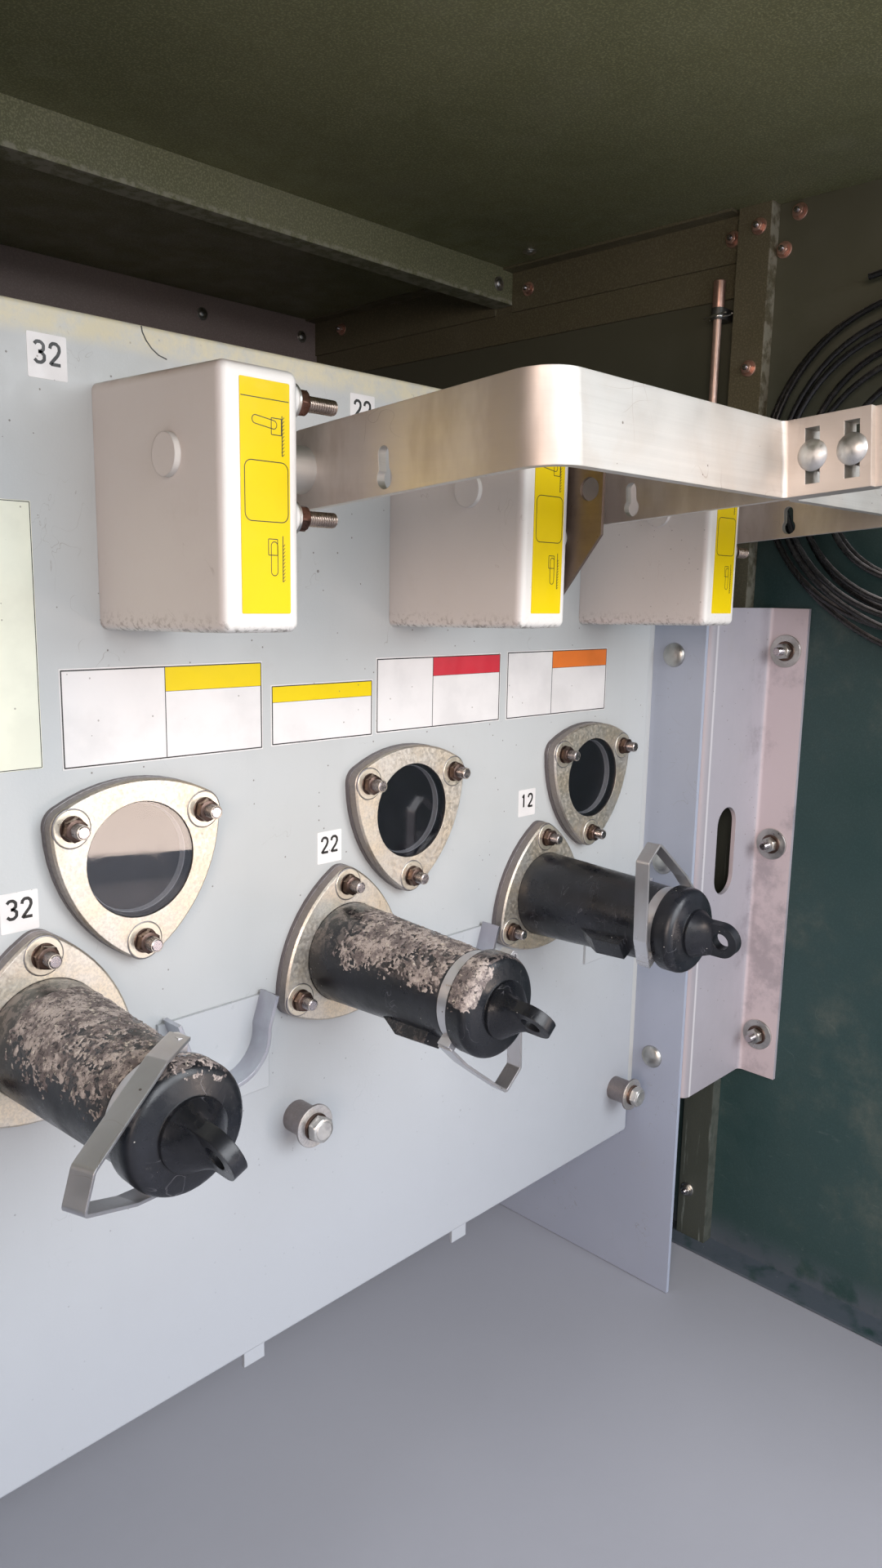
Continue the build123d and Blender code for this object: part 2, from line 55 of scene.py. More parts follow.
def aimCamera(settings):
    # forward = (sin yaw cos pitch, cos yaw cos pitch, -sin pitch); right and up turned by the roll
    yaw, pitch, roll = (math.radians(settings[k]) for k in ("yaw", "pitch", "roll"))
    forward = Vector((math.sin(yaw) * math.cos(pitch), math.cos(yaw) * math.cos(pitch), -math.sin(pitch)))
    level = Vector((math.cos(yaw), -math.sin(yaw), 0))
    rise = level.cross(forward)
    right = math.cos(roll) * level + math.sin(roll) * rise
    up = -math.sin(roll) * level + math.cos(roll) * rise
    lens = bpy.data.cameras.new("photoView")
    lens.lens = settings["lens"]
    lens.sensor_width = 36
    lens.clip_start = 0.01
    camera = bpy.data.objects.new("photoView", lens)
    bpy.context.scene.collection.objects.link(camera)
    turned = Matrix((right, up, -forward)).transposed().to_4x4()
    camera.matrix_world = Matrix.Translation(settings["place"]) @ turned
    bpy.context.scene.camera = camera


aimCamera(view)
print("camera set")


# node trees for the finishes
class Finish:
    # a Principled material with short names for the nodes that its patterns use
    def __init__(self, name, **settings):
        self.material = bpy.data.materials.new(name)
        self.material.use_nodes = True
        self.tree = self.material.node_tree
        self.tree.nodes.clear()
        output = self.tree.nodes.new("ShaderNodeOutputMaterial")
        self.shader = self.tree.nodes.new("ShaderNodeBsdfPrincipled")
        self.tree.links.new(self.shader.outputs[0], output.inputs[0])
        self.place = self.tree.nodes.new("ShaderNodeTexCoord").outputs["Object"]
        self.axes = None
        self.colour = None
        for key, value in settings.items():
            self.shader.inputs[key].default_value = value

    def feed(self, socket, value):
        if isinstance(value, bpy.types.NodeSocket):
            self.tree.links.new(value, socket)
        elif isinstance(value, (tuple, list)) and len(value) == 3 and socket.type == "RGBA":
            socket.default_value = (*value, 1)
        else:
            socket.default_value = value

    def set(self, key, value):
        self.feed(self.shader.inputs[key], value)

    def axis(self, which):
        if self.axes is None:
            node = self.tree.nodes.new("ShaderNodeSeparateXYZ")
            self.feed(node.inputs[0], self.place)
            self.axes = node
        return self.axes.outputs[which]

    def facing(self, which):
        # a face's own direction, for film that settles on one side of a piece
        node = self.tree.nodes.new("ShaderNodeNewGeometry")
        split = self.tree.nodes.new("ShaderNodeSeparateXYZ")
        self.feed(split.inputs[0], node.outputs["True Normal"])
        return split.outputs[which]

    def stretched(self, scale, turn=(0, 0, 0)):
        node = self.tree.nodes.new("ShaderNodeMapping")
        self.feed(node.inputs["Vector"], self.place)
        node.inputs["Scale"].default_value = scale
        node.inputs["Rotation"].default_value = tuple(math.radians(t) for t in turn)
        return node.outputs[0]

    def noise(self, scale, detail=4.0, rough=0.55, vector=None, bend=0.0):
        node = self.tree.nodes.new("ShaderNodeTexNoise")
        self.feed(node.inputs["Vector"], vector or self.place)
        node.inputs["Scale"].default_value = scale
        node.inputs["Detail"].default_value = detail
        node.inputs["Roughness"].default_value = rough
        node.inputs["Distortion"].default_value = bend
        return node.outputs[0]

    def cells(self, scale, vector=None, feature="F1"):
        node = self.tree.nodes.new("ShaderNodeTexVoronoi")
        node.feature = feature
        self.feed(node.inputs["Vector"], vector or self.place)
        node.inputs["Scale"].default_value = scale
        return node

    def math(self, operation, a, b=0.0):
        node = self.tree.nodes.new("ShaderNodeMath")
        node.operation = operation
        self.feed(node.inputs[0], a)
        self.feed(node.inputs[1], b)
        return node.outputs[0]

    def band(self, value, low, high, start=0.0, end=1.0):
        node = self.tree.nodes.new("ShaderNodeMapRange")
        node.interpolation_type = "SMOOTHSTEP"
        self.feed(node.inputs["Value"], value)
        for key, number in (("From Min", low), ("From Max", high), ("To Min", start), ("To Max", end)):
            node.inputs[key].default_value = number
        return node.outputs[0]

    def mix(self, amount, a, b):
        node = self.tree.nodes.new("ShaderNodeMix")
        node.data_type = "RGBA"
        self.feed(node.inputs[0], amount)
        self.feed(node.inputs[6], a)
        self.feed(node.inputs[7], b)
        return node.outputs[2]

    def specks(self, scale, size, share, vector=None):
        # round spots: a share of the cells, each as wide as its own random value says
        node = self.cells(scale, vector)
        split = self.tree.nodes.new("ShaderNodeSeparateColor")
        self.feed(split.inputs[0], node.outputs["Color"])
        kept = self.math("LESS_THAN", split.outputs[0], share)
        reach = self.math("MULTIPLY", split.outputs[1], size)
        inside = self.math("LESS_THAN", node.outputs["Distance"], reach)
        return self.math("MULTIPLY", kept, inside)

    def both(self, a, b):
        return self.math("MULTIPLY", a, b)

    def either(self, a, b):
        return self.math("MAXIMUM", a, b)

    def cloud(self, noise, *limits):
        # soft patches where a noise rises through a band
        return self.band(self.noise(*noise), *limits)

    def grain(self, scales, detail, rough=0.5, turn=(0, 0, 0), bend=0.0):
        # a noise drawn out along the axes that have small scales
        return self.noise(1.0, detail, rough, self.stretched(scales, turn), bend)

    def hairline(self, value, width, level=0.5):
        # a thin line where a value passes a level
        line = self.math("COMPARE", value, level)
        line.node.inputs[2].default_value = width
        return line

    def coat(self, amount, tone):
        # one more tone over the colour so far
        self.colour = self.mix(amount, self.colour, tone)

    def relief(self, height, depth, strength=1.0, edge=None, normal=None):
        node = self.tree.nodes.new("ShaderNodeBump")
        self.feed(node.inputs["Height"], height)
        node.inputs["Distance"].default_value = depth
        node.inputs["Strength"].default_value = strength
        if edge:
            soft = self.tree.nodes.new("ShaderNodeBevel")
            soft.samples = 3
            soft.inputs["Radius"].default_value = edge
            normal = soft.outputs[0]
        if normal is not None:
            self.feed(node.inputs["Normal"], normal)
        self.set("Normal", node.outputs[0])
        return node.outputs[0]


def tankPaint(name, light, dusk, edge=0.0008, rim=False, housing=False, bend=False):
    # epoxy paint: broad tint drift, faint runs, brown specks and a fine orange-peel skin
    f = Finish(name, Roughness=0.42)
    drift = f.cloud((2.2, 5), 0.35, 0.68)
    f.colour = f.mix(drift, light, dusk)
    runs = f.grain((26, 26, 1.6), 5, 0.6)
    f.coat(f.band(runs, 0.52, 0.85, 0, 0.35), tuple(v * 0.84 for v in light))
    grime = f.cloud((9, 8, 0.7), 0.58, 0.80, 0, 0.45)
    f.coat(grime, (0.40, 0.37, 0.31))
    spots = f.either(f.specks(210, 0.15, 0.14), f.specks(52, 0.06, 0.13))
    f.coat(f.both(spots, 0.7), (0.10, 0.075, 0.055))
    hairs = f.hairline(f.grain((42, 42, 30), 2, 0.5, (0, 30, 0), 0.8), 0.0022)
    hairs = f.both(hairs, f.cloud((15, 3), 0.56, 0.62))
    f.coat(f.both(hairs, 0.35), (0.20, 0.17, 0.14))
    if housing:
        # soot in the corners along the bottom, brown rub along the top edge
        low = f.band(f.axis(2), 0.775, 0.790, 1.0, 0.0)
        soot = f.both(low, f.cloud((240, 5, 0.7), 0.50, 0.60))
        f.coat(f.both(soot, 0.75), (0.10, 0.085, 0.07))
        high = f.both(f.band(f.axis(2), 0.919, 0.926), f.cloud((30, 5), 0.35, 0.6))
        f.coat(f.both(high, 0.55), (0.30, 0.17, 0.13))
        # painted light: pinker on the sides that face left, lighter on the sides that face front
        f.coat(f.band(f.facing(0), -0.9, -0.5, 0.40, 0.0), (0.74, 0.60, 0.55))
        f.coat(f.band(f.facing(1), -0.95, -0.6, 0.75, 0.0), (0.88, 0.85, 0.80))
    if bend:
        # painted light: the wall flange is pinker than the web; a painted highlight along the web's fold
        # beside the leg, and painted shade on the leg's side of the fold
        across = f.math("ABSOLUTE", f.axis(0))
        f.coat(f.band(f.math("ABSOLUTE", f.facing(0)), 0.5, 0.9, 0.0, 0.75), (0.63, 0.53, 0.55))
        foldHighlight = f.both(f.band(across, 0.7955, 0.7965), f.band(across, 0.7985, 0.8000, 1.0, 0.0))
        f.coat(f.band(across, 0.7945, 0.7965, 0.35, 0.0), (0.20, 0.19, 0.20))
        f.coat(f.both(foldHighlight, 0.6), (0.78, 0.77, 0.78))
        rub = f.both(f.band(across, 0.860, 0.898), f.cloud((9, 6, 0.7), 0.52, 0.66, 0, 0.5))
        f.coat(rub, (0.22, 0.20, 0.23))
    if rim:
        # the rolled top edge has weathered to cream, with rust where the paint has gone; the cream band is
        # also a painted highlight where the edge turns up to the light
        high = f.band(f.axis(2), 0.945, 0.957)
        worn = f.cloud((60, 6, 0.7), 0.30, 0.60, 0.25, 1.0)
        f.coat(f.both(high, worn), (0.66, 0.60, 0.43))
        rust = f.both(high, f.cloud((75, 5, 0.65), 0.66, 0.72))
        f.coat(rust, (0.16, 0.075, 0.035))
        # painted shade: darker and bluer towards the floor
        f.coat(f.band(f.axis(2), 0.20, 0.66, 0.85, 0.0), (0.36, 0.385, 0.43))
    f.set("Base Color", f.colour)
    f.set("Roughness", f.cloud((60, 4), 0.3, 0.7, 0.36, 0.52))
    skin = f.math("ADD", f.both(f.noise(420, 2), 0.5), f.both(f.noise(16, 3), 0.7))
    skin = f.math("ADD", skin, f.both(spots, 0.35))
    f.relief(skin, 0.0006, 0.32, edge)
    return f.material


def enclosurePaint(name, base, lift, speck=0.35, wall=False, edge=0.001, lines=0.25,
                   worn=None, post=False):
    # dark green enamel: fine speckle, dust, thin pale scratches, and dirt along the floor
    f = Finish(name, Roughness=0.5)
    f.colour = f.mix(f.cloud((1.6, 6), 0.34, 0.70), base, lift)
    fine = f.cloud((520, 2, 0.6), 0.46, 0.66, 0, speck)
    f.coat(fine, tuple(min(1, v * 2.4 + 0.02) for v in lift))
    dust = f.cloud((5, 9, 0.72), 0.50, 0.80, 0, 0.30)
    f.coat(dust, (0.30, 0.28, 0.22))
    scratch = f.hairline(f.grain((60, 9, 9), 2, 0.5, (22, 0, 0)), 0.0016)
    scratch = f.both(scratch, f.cloud((7, 3), 0.54, 0.60))
    f.coat(f.both(scratch, lines), (0.42, 0.44, 0.40))
    flecks = f.either(f.specks(60, 0.05, 0.12), f.specks(190, 0.10, 0.09))
    if wall:
        # painted light: lighter and browner under the roof; towards the pad fine pale drag marks, then soil,
        # tinted blue by painted shade
        f.coat(f.band(f.axis(2), 0.80, 1.14, 0, 0.9), (0.120, 0.114, 0.075))
        reach = f.band(f.axis(2), 0.02, 0.60, 1.0, 0.0)
        drag = f.grain((90, 26, 60), 8, 0.75, (18, 0, 0), 1.2)
        f.coat(f.both(reach, f.band(drag, 0.60, 0.72, 0, 0.16)), (0.30, 0.33, 0.32))
        soilAndShade = f.both(f.band(f.axis(2), 0.0, 0.05, 1.0, 0.0), f.cloud((30, 6), 0.3, 0.5))
        f.coat(soilAndShade, (0.085, 0.105, 0.13))
    # outside, all the panels have one green
    reach = [f.math("ABSOLUTE", f.axis(0)), f.math("ABSOLUTE", f.axis(1)), f.axis(2)]
    past = [f.math("GREATER_THAN", axis, limit * mm) for axis, limit in zip(reach, cabinet["skin"])]
    outside = f.either(f.either(past[0], past[1]), past[2])
    enamel = f.mix(f.cloud((3, 6), 0.35, 0.68), (0.040, 0.066, 0.046), (0.058, 0.086, 0.062))
    f.coat(outside, enamel)
    f.coat(f.both(flecks, 0.5), (0.50, 0.52, 0.48))
    if worn:
        # painted highlight: a lit edge along this range of heights or depths, in patches
        axis, low, high = worn
        litEdgeBand = f.both(f.band(f.axis(axis), low, high, 1.0, 0.0), f.cloud((90, 4), 0.40, 0.60))
        f.coat(f.both(litEdgeBand, 0.7), (0.42, 0.40, 0.32))
    if post:
        # painted shade: darker and bluer below, with pale rubs along its length
        low = f.band(f.axis(2), 0.55, 1.0, 0.85, 0.0)
        f.coat(low, (0.040, 0.054, 0.052))
        rubs = f.band(f.grain((150, 150, 8), 6, 0.7), 0.60, 0.72, 0, 0.6)
        f.coat(f.both(low, rubs), (0.34, 0.39, 0.37))
    f.set("Base Color", f.colour)
    f.set("Roughness", f.cloud((20, 5), 0.3, 0.7, 0.34, 0.60))
    skin = f.math("ADD", f.noise(260, 3), f.both(f.noise(7, 3), 0.6))
    f.relief(skin, 0.0007, 0.35, edge)
    return f.material


def rolledSteel(name, tone, stain, grain=(4, 4, 330), rough=(0.46, 0.60), stained=0.36, edge=0.0007, left=0.0,
                painted=False):
    # stainless: long fine grain, brown film in patches, and crossing scratches
    f = Finish(name, Metallic=0.88, Roughness=0.3)
    streak = f.grain(grain, 5, 0.65)
    film = f.band(f.noise(11, 6, 0.62, bend=0.6), 0.42, 0.68, 0, stained)
    f.colour = f.mix(f.band(streak, 0.30, 0.70), tone, tuple(v * 0.93 for v in tone))
    f.coat(film, stain)
    if left:
        # painted light and shade: the sides that face left are pinker and lighter, with brown patches of
        # painted shade
        side = f.band(f.facing(0), -0.95, -0.4, left, 0.0)
        f.coat(side, (0.85, 0.75, 0.70))
        leftShadeBrown = f.band(f.grain((14, 14, 5), 5, 0.6), 0.46, 0.64, 0, 0.6)
        f.coat(f.both(side, leftShadeBrown), (0.42, 0.32, 0.25))
    dark = f.specks(170, 0.14, 0.12)
    f.coat(f.both(dark, 0.7), (0.10, 0.07, 0.05))
    one = f.hairline(f.grain((30, 30, 9), 1, 0.5, (35, 0, 20)), 0.0016)
    two = f.hairline(f.grain((9, 24, 40), 1, 0.5, (0, 50, 10)), 0.0016)
    marks = f.both(f.either(one, two), f.cloud((17, 3), 0.50, 0.60))
    f.coat(f.both(marks, 0.35), (0.30, 0.22, 0.17))
    if painted:
        # the plate against the tank has the tank's paint; its tone holds the plate's painted shade at that
        # height
        bare = f.math("LESS_THAN", f.axis(1), -0.0031)
        f.colour = f.mix(bare, (0.465, 0.48, 0.495), f.colour)
        f.set("Metallic", f.both(bare, 0.96))
    f.set("Base Color", f.colour)
    gloss = f.band(f.math("ADD", f.noise(30, 5), f.both(streak, 0.2)), 0.3, 0.85, *rough)
    f.set("Roughness", gloss)
    f.relief(f.math("SUBTRACT", streak, f.both(marks, 0.5)), 0.0002, 0.28, edge)
    return f.material


def castSteel(name, tone, warm, edge=0.0008):
    # dull cast stainless: sandy grain, warm and grey patches, dirt in the pits
    f = Finish(name, Metallic=0.92, Roughness=0.42)
    patch = f.cloud((26, 6, 0.6), 0.36, 0.66)
    f.colour = f.mix(patch, tone, warm)
    mottle = f.cloud((520, 3, 0.7), 0.42, 0.60)
    f.coat(f.both(mottle, 0.30), tuple(v * 0.52 for v in tone))
    # painted shade: the sides that don't face the front are darker
    rim = f.band(f.facing(1), -0.9, -0.35)
    f.coat(f.both(rim, 0.80), (0.20, 0.165, 0.165))
    dirt = f.cloud((70, 7, 0.7), 0.60, 0.78, 0, 0.5)
    f.coat(dirt, (0.12, 0.095, 0.07))
    f.set("Base Color", f.colour)
    f.set("Roughness", f.cloud((320, 4), 0.3, 0.7, 0.32, 0.52))
    f.relief(f.math("ADD", f.noise(700, 3, 0.6), f.both(f.noise(60, 3), 0.8)), 0.00012, 0.45, edge)
    return f.material


def capRubber(name):
    # black moulded rubber with pale dust, scuffs and fine grit; brown film on top of all but phase a's
    f = Finish(name, Roughness=0.42)
    f.colour = f.mix(f.cloud((14, 7, 0.65), 0.40, 0.75), (0.007, 0.008, 0.011), (0.020, 0.022, 0.030))
    scuff = f.hairline(f.grain((30, 80, 30), 2, 0.5, (0, 25, 15), 0.8), 0.004)
    f.coat(f.both(scuff, f.cloud((24, 3), 0.50, 0.60, 0, 0.5)), (0.16, 0.16, 0.18))
    dust = f.cloud((160, 6, 0.75), 0.60, 0.76, 0, 0.22)
    f.coat(dust, (0.26, 0.25, 0.23))
    clean = 0.0
    for way in ways.values():
        clean = f.either(f.hairline(f.axis(0), 0.06, (way + phases["a"] + bushing["x"]) * mm), clean)
    smear = f.band(f.noise(130, 7, 0.75, bend=0.5), 0.47, 0.56, 0, 0.7)
    film = f.both(f.band(f.facing(2), 0.1, 0.8), smear)
    film = f.both(film, f.math("GREATER_THAN", f.axis(1), -0.1765))
    f.coat(f.both(film, f.math("SUBTRACT", 1.0, clean)), (0.18, 0.15, 0.14))
    chips = f.either(f.specks(260, 0.15, 0.10), f.specks(110, 0.07, 0.14))
    f.coat(f.both(chips, 0.75), (0.48, 0.46, 0.42))
    f.set("Base Color", f.colour)
    f.set("Roughness", f.cloud((34, 6, 0.7), 0.35, 0.72, 0.24, 0.50))
    f.relief(f.math("ADD", f.noise(300, 3), f.noise(40, 4)), 0.0003, 0.35, 0.0012)
    return f.material


def plainFinish(name, colour, rough, metal=0.0, vary=0.18, grain=240, edge=0.0004, depth=0.00003):
    # a small part's finish: its tone drifts and its skin has a fine grain
    f = Finish(name, Metallic=metal, Roughness=rough)
    f.colour = f.mix(f.cloud((45, 5), 0.35, 0.65), colour, tuple(v * (1 - vary * 2) for v in colour))
    f.coat(f.cloud((140, 5, 0.7), 0.55, 0.78, 0, 0.3), (0.10, 0.08, 0.065))
    f.set("Base Color", f.colour)
    f.set("Roughness", f.cloud((grain * 0.5, 3), 0.3, 0.7, rough * 0.8, min(1, rough * 1.3)))
    f.relief(f.noise(grain, 3), depth, 0.5, edge)
    return f.material


def cableJacket(name):
    # smooth black jacket with dust on its upper side, lightened further as a painted highlight, and a narrow
    # painted highlight along the top
    f = Finish(name, Roughness=0.34)
    f.colour = f.mix(f.cloud((30, 6, 0.7), 0.5, 0.8, 0, 0.30), (0.014, 0.014, 0.015), (0.16, 0.15, 0.14))
    dustAndSheen = f.both(f.band(f.facing(2), 0.45, 0.95), f.cloud((24, 5, 0.7), 0.35, 0.6, 0.2, 0.8))
    f.coat(dustAndSheen, (0.52, 0.48, 0.48))
    crestHighlight = f.both(f.band(f.facing(2), 0.82, 0.96), f.cloud((7, 3), 0.42, 0.56))
    f.coat(crestHighlight, (0.86, 0.80, 0.80))
    f.set("Base Color", f.colour)
    f.set("Roughness", f.cloud((90, 4), 0.3, 0.7, 0.16, 0.32))
    f.relief(f.noise(400, 3), 0.0001, 0.3)
    return f.material


finishes = {
    "tank": tankPaint("tankPaint", (0.56, 0.57, 0.56), (0.50, 0.50, 0.48)),
    "plate": tankPaint("frontPlatePaint", (0.53, 0.545, 0.54), (0.48, 0.485, 0.47), rim=True),
    "housing": tankPaint("housingPaint", (0.66, 0.645, 0.62), (0.60, 0.575, 0.55), edge=0.0015, housing=True),
    # the legs carry the tank's grey paint, painted darker and bluer for the shade they stand in
    "leg": tankPaint("legPaintShadedBlue", (0.43, 0.47, 0.56), (0.36, 0.40, 0.50)),
    "bracket": tankPaint("bracketPaint", (0.44, 0.42, 0.46), (0.37, 0.35, 0.39), bend=True),
    # inside, each panel's tones stand for the light that reaches it: painted light and shade over the one
    # green enamel that the outside has
    "wall": enclosurePaint("sideWallPaint", (0.018, 0.046, 0.046), (0.027, 0.059, 0.059), 0.08, wall=True,
                           lines=0.04),
    "back": enclosurePaint("backWallPaint", (0.30, 0.235, 0.22), (0.36, 0.285, 0.26), 0.12, lines=0.1),
    "roof": enclosurePaint("roofPaint", (0.155, 0.160, 0.082), (0.215, 0.215, 0.115), 0.36, lines=0.0),
    "beam": enclosurePaint("beamPaint", (0.165, 0.170, 0.095), (0.215, 0.215, 0.130), 0.35, lines=0.0,
                           worn=(2, 1.1785, 1.1815)),
    "frame": enclosurePaint("framePaint", (0.125, 0.110, 0.066), (0.165, 0.145, 0.088), 0.20, lines=0.1),
    "post": enclosurePaint("postPaint", (0.125, 0.110, 0.066), (0.165, 0.145, 0.088), 0.20, lines=0.1,
                           worn=(1, -0.0374, -0.0366), post=True),
    "handle": rolledSteel("handleStainless", (0.63, 0.615, 0.58), (0.52, 0.45, 0.38), left=0.7),
    "handleDown": rolledSteel("loweredHandleStainless", (0.66, 0.645, 0.61), (0.56, 0.47, 0.39), (4, 330, 4),
                              left=0.7),
    # the lock plates' dark brown tone is painted shade for the shadow they lie in
    "lock": rolledSteel("lockPlateStainlessShaded", (0.26, 0.20, 0.165), (0.13, 0.095, 0.075)),
    "strap": rolledSteel("strapStainless", (0.62, 0.62, 0.64), (0.48, 0.43, 0.42), (9, 60, 9), (0.26, 0.40)),
    "fastener": plainFinish("fastenerSteel", (0.68, 0.67, 0.65), 0.44, 0.9, 0.15, 500),
    "nutBrown": plainFinish("brownNut", (0.16, 0.105, 0.085), 0.34, 0.9, 0.30, 600),
    "thread": plainFinish("brightThread", (0.60, 0.54, 0.54), 0.24, 1.0, 0.15, 800),
    "dullThread": plainFinish("dullThread", (0.46, 0.37, 0.31), 0.30, 1.0, 0.20, 800),
    "darkCopper": plainFinish("darkCopperNut", (0.22, 0.115, 0.085), 0.30, 0.95, 0.25, 600),
    "spot": plainFinish("machinedSpot", (0.86, 0.78, 0.64), 0.34, 0.85, 0.06, 700),
    "stand": rolledSteel("standStrap", (0.60, 0.62, 0.66), (0.36, 0.31, 0.38), (9, 60, 9), (0.24, 0.38), 0.5,
                         painted=True),
    "copper": plainFinish("copperBolt", (0.80, 0.50, 0.40), 0.36, 0.85, 0.20, 500),
    "zinc": plainFinish("zincSteel", (0.62, 0.61, 0.58), 0.34, 1.0, 0.15, 400),
    "flange": castSteel("flangeStainless", (0.80, 0.75, 0.67), (0.83, 0.72, 0.56)),
    "boss": castSteel("bossSteel", (0.70, 0.69, 0.69), (0.72, 0.66, 0.60)),
    "pad": castSteel("padSteel", (0.36, 0.35, 0.36), (0.30, 0.28, 0.28)),
    "cap": capRubber("capRubber"),
    "rod": plainFinish("copperRod", (0.86, 0.62, 0.52), 0.40, 0.7, 0.12, 300),
    "clip": plainFinish("clipSteel", (0.16, 0.16, 0.15), 0.45, 0.8, 0.2, 300),
    "cable": cableJacket("cableJacket"),
}
print("finishes made:", len(finishes))


# finishes on the frame's own nodes
nodeFinishes = {
    "side_wall": "wall", "back_wall": "back", "roof_beam": "beam", "roof": "roof", "top_rails": "frame",
    "wall_posts": "post", "tank": "tank", "front_plate": "plate", "leg_": "leg", "wall_bracket": "bracket",
    "housing_": "housing", "handle_bolts": "fastener", "handle_1": "handleDown", "handle_": "handle",
    "ground_bosses": "boss", "window_flanges": "flange", "bushing_flanges": "flange", "flange_pads": "pad",
    "caps_": "cap", "cap_bails": "strap", "parking_stands": "stand", "lock_plates": "lock",
    "prop_rod_clips": "clip", "prop_rod": "rod", "coil_hook": "clip", "cable_coil": "cable",
    "window_glasses": "cap",
}


def dressFrame():
    for name, node in cadNodes.items():
        kind = next(value for key, value in nodeFinishes.items() if name.startswith(key))
        node.data.materials.clear()
        node.data.materials.append(finishes[kind])


dressFrame()
print("frame nodes dressed")


# surfaces
def circle(count):
    turn = np.linspace(0, 2 * np.pi, count, endpoint=False)
    return np.stack([np.cos(turn), np.sin(turn)], -1)


def roundedBox(width, height, corner, steps=6):
    # quarter circles of the corner's radius about four centres, joined by straight sides
    turn = np.linspace(0, np.pi / 2, steps)
    quarter = np.stack([np.cos(turn), np.sin(turn)], -1) * corner
    a, b = width / 2 - corner, height / 2 - corner
    centres = np.array([(a, b), (-a, b), (-a, -b), (a, -b)])
    spins = np.array([[[1, 0], [0, 1]], [[0, -1], [1, 0]], [[-1, 0], [0, -1]], [[0, 1], [-1, 0]]])
    return (np.einsum("kij,nj->kni", spins, quarter) + centres[:, None]).reshape(-1, 2)


def weave(index, closeRows, closeColumns):
    # quads between neighbouring rows and columns of a grid of vertex numbers; doubled corners make triangles
    rows = np.concatenate([index, index[:1]]) if closeRows else index
    both = np.concatenate([rows, rows[:, :1]], 1) if closeColumns else rows
    quads = np.stack([both[:-1, :-1], both[:-1, 1:], both[1:, 1:], both[1:, :-1]], -1).reshape(-1, 4)
    first = quads[:, 0] == quads[:, 1]
    last = quads[:, 2] == quads[:, 3]
    full = quads[~first & ~last]
    return [full, quads[first][:, [0, 2, 3]], quads[last & ~first][:, [0, 1, 2]]]


def stack(outlines, heights):
    # outline k of the list lies at height k; an outline shrunk to nothing is one point
    outlines = np.asarray(outlines, float)
    rows, count = outlines.shape[:2]
    z = np.repeat(np.asarray(heights, float)[:, None], count, 1)
    points = np.concatenate([outlines, z[..., None]], -1).reshape(-1, 3)
    index = np.arange(rows * count).reshape(rows, count)
    poles = np.abs(outlines).max((1, 2)) < 1e-9
    index[poles] = index[poles][:, :1]
    return points, weave(index, False, True)


def turned(radii, heights, count=28):
    # circle of radius r(k) at height h(k)
    return stack(circle(count)[None] * np.asarray(radii, float)[:, None, None], heights)


def sheetGrid(points, closeRows=False, closeColumns=False):
    rows, count = points.shape[:2]
    index = np.arange(rows * count).reshape(rows, count)
    return points.reshape(-1, 3), weave(index, closeRows, closeColumns)


def plate(outline, thick, bevel=0.1):
    # an outline at the back, carried to the front and drawn in by the bevel, both ends filled to the middle
    inner = outline * (1 - bevel / np.abs(outline).max())
    return stack([outline * 0, outline, outline, inner, inner * 0], [0, 0, thick - bevel, thick, thick])


def ribbon(path, width, thick, closed=False):
    # the path's two sides at half the width along its normals, at the bottom and at the top
    path = np.asarray(path, float)
    if closed:
        tangent = np.roll(path, -1, 0) - np.roll(path, 1, 0)
    else:
        tangent = np.gradient(path, axis=0)
    tangent /= np.linalg.norm(tangent, axis=1)[:, None]
    normal = np.stack([-tangent[:, 1], tangent[:, 0]], -1) * width / 2
    left, right = path + normal, path - normal
    corners = [(left, 0.0), (right, 0.0), (right, thick), (left, thick)]
    grid = np.stack([np.concatenate([side, np.full((len(path), 1), h)], 1) for side, h in corners], 1)
    points, faces = sheetGrid(grid, closed, True)
    if not closed:
        last = (len(path) - 1) * 4
        faces = faces + [np.array([[3, 2, 1, 0]]), np.array([[last, last + 1, last + 2, last + 3]])]
    return points, faces


turns = {
    "out": np.array([[1, 0, 0], [0, 0, -1], [0, 1, 0]], float),    # built upwards, then faces -Y
    "left": np.array([[0, 0, -1], [1, 0, 0], [0, -1, 0]], float),  # faces -X
    "right": np.array([[0, 0, 1], [1, 0, 0], [0, 1, 0]], float),   # faces +X
    "down": np.array([[1, 0, 0], [0, -1, 0], [0, 0, -1]], float),
    "up": np.eye(3),
}


def put(shell, at, way="out", spin=0.0, lift=0.0):
    # spun about its own axis, lifted off its seat, turned to face a way, moved to its place in millimetres
    points, faces = shell
    c, s = math.cos(math.radians(spin)), math.sin(math.radians(spin))
    about = np.array([[c, -s, 0], [s, c, 0], [0, 0, 1]])
    return (points @ about.T + (0, 0, lift)) @ turns[way].T + np.asarray(at, float), faces


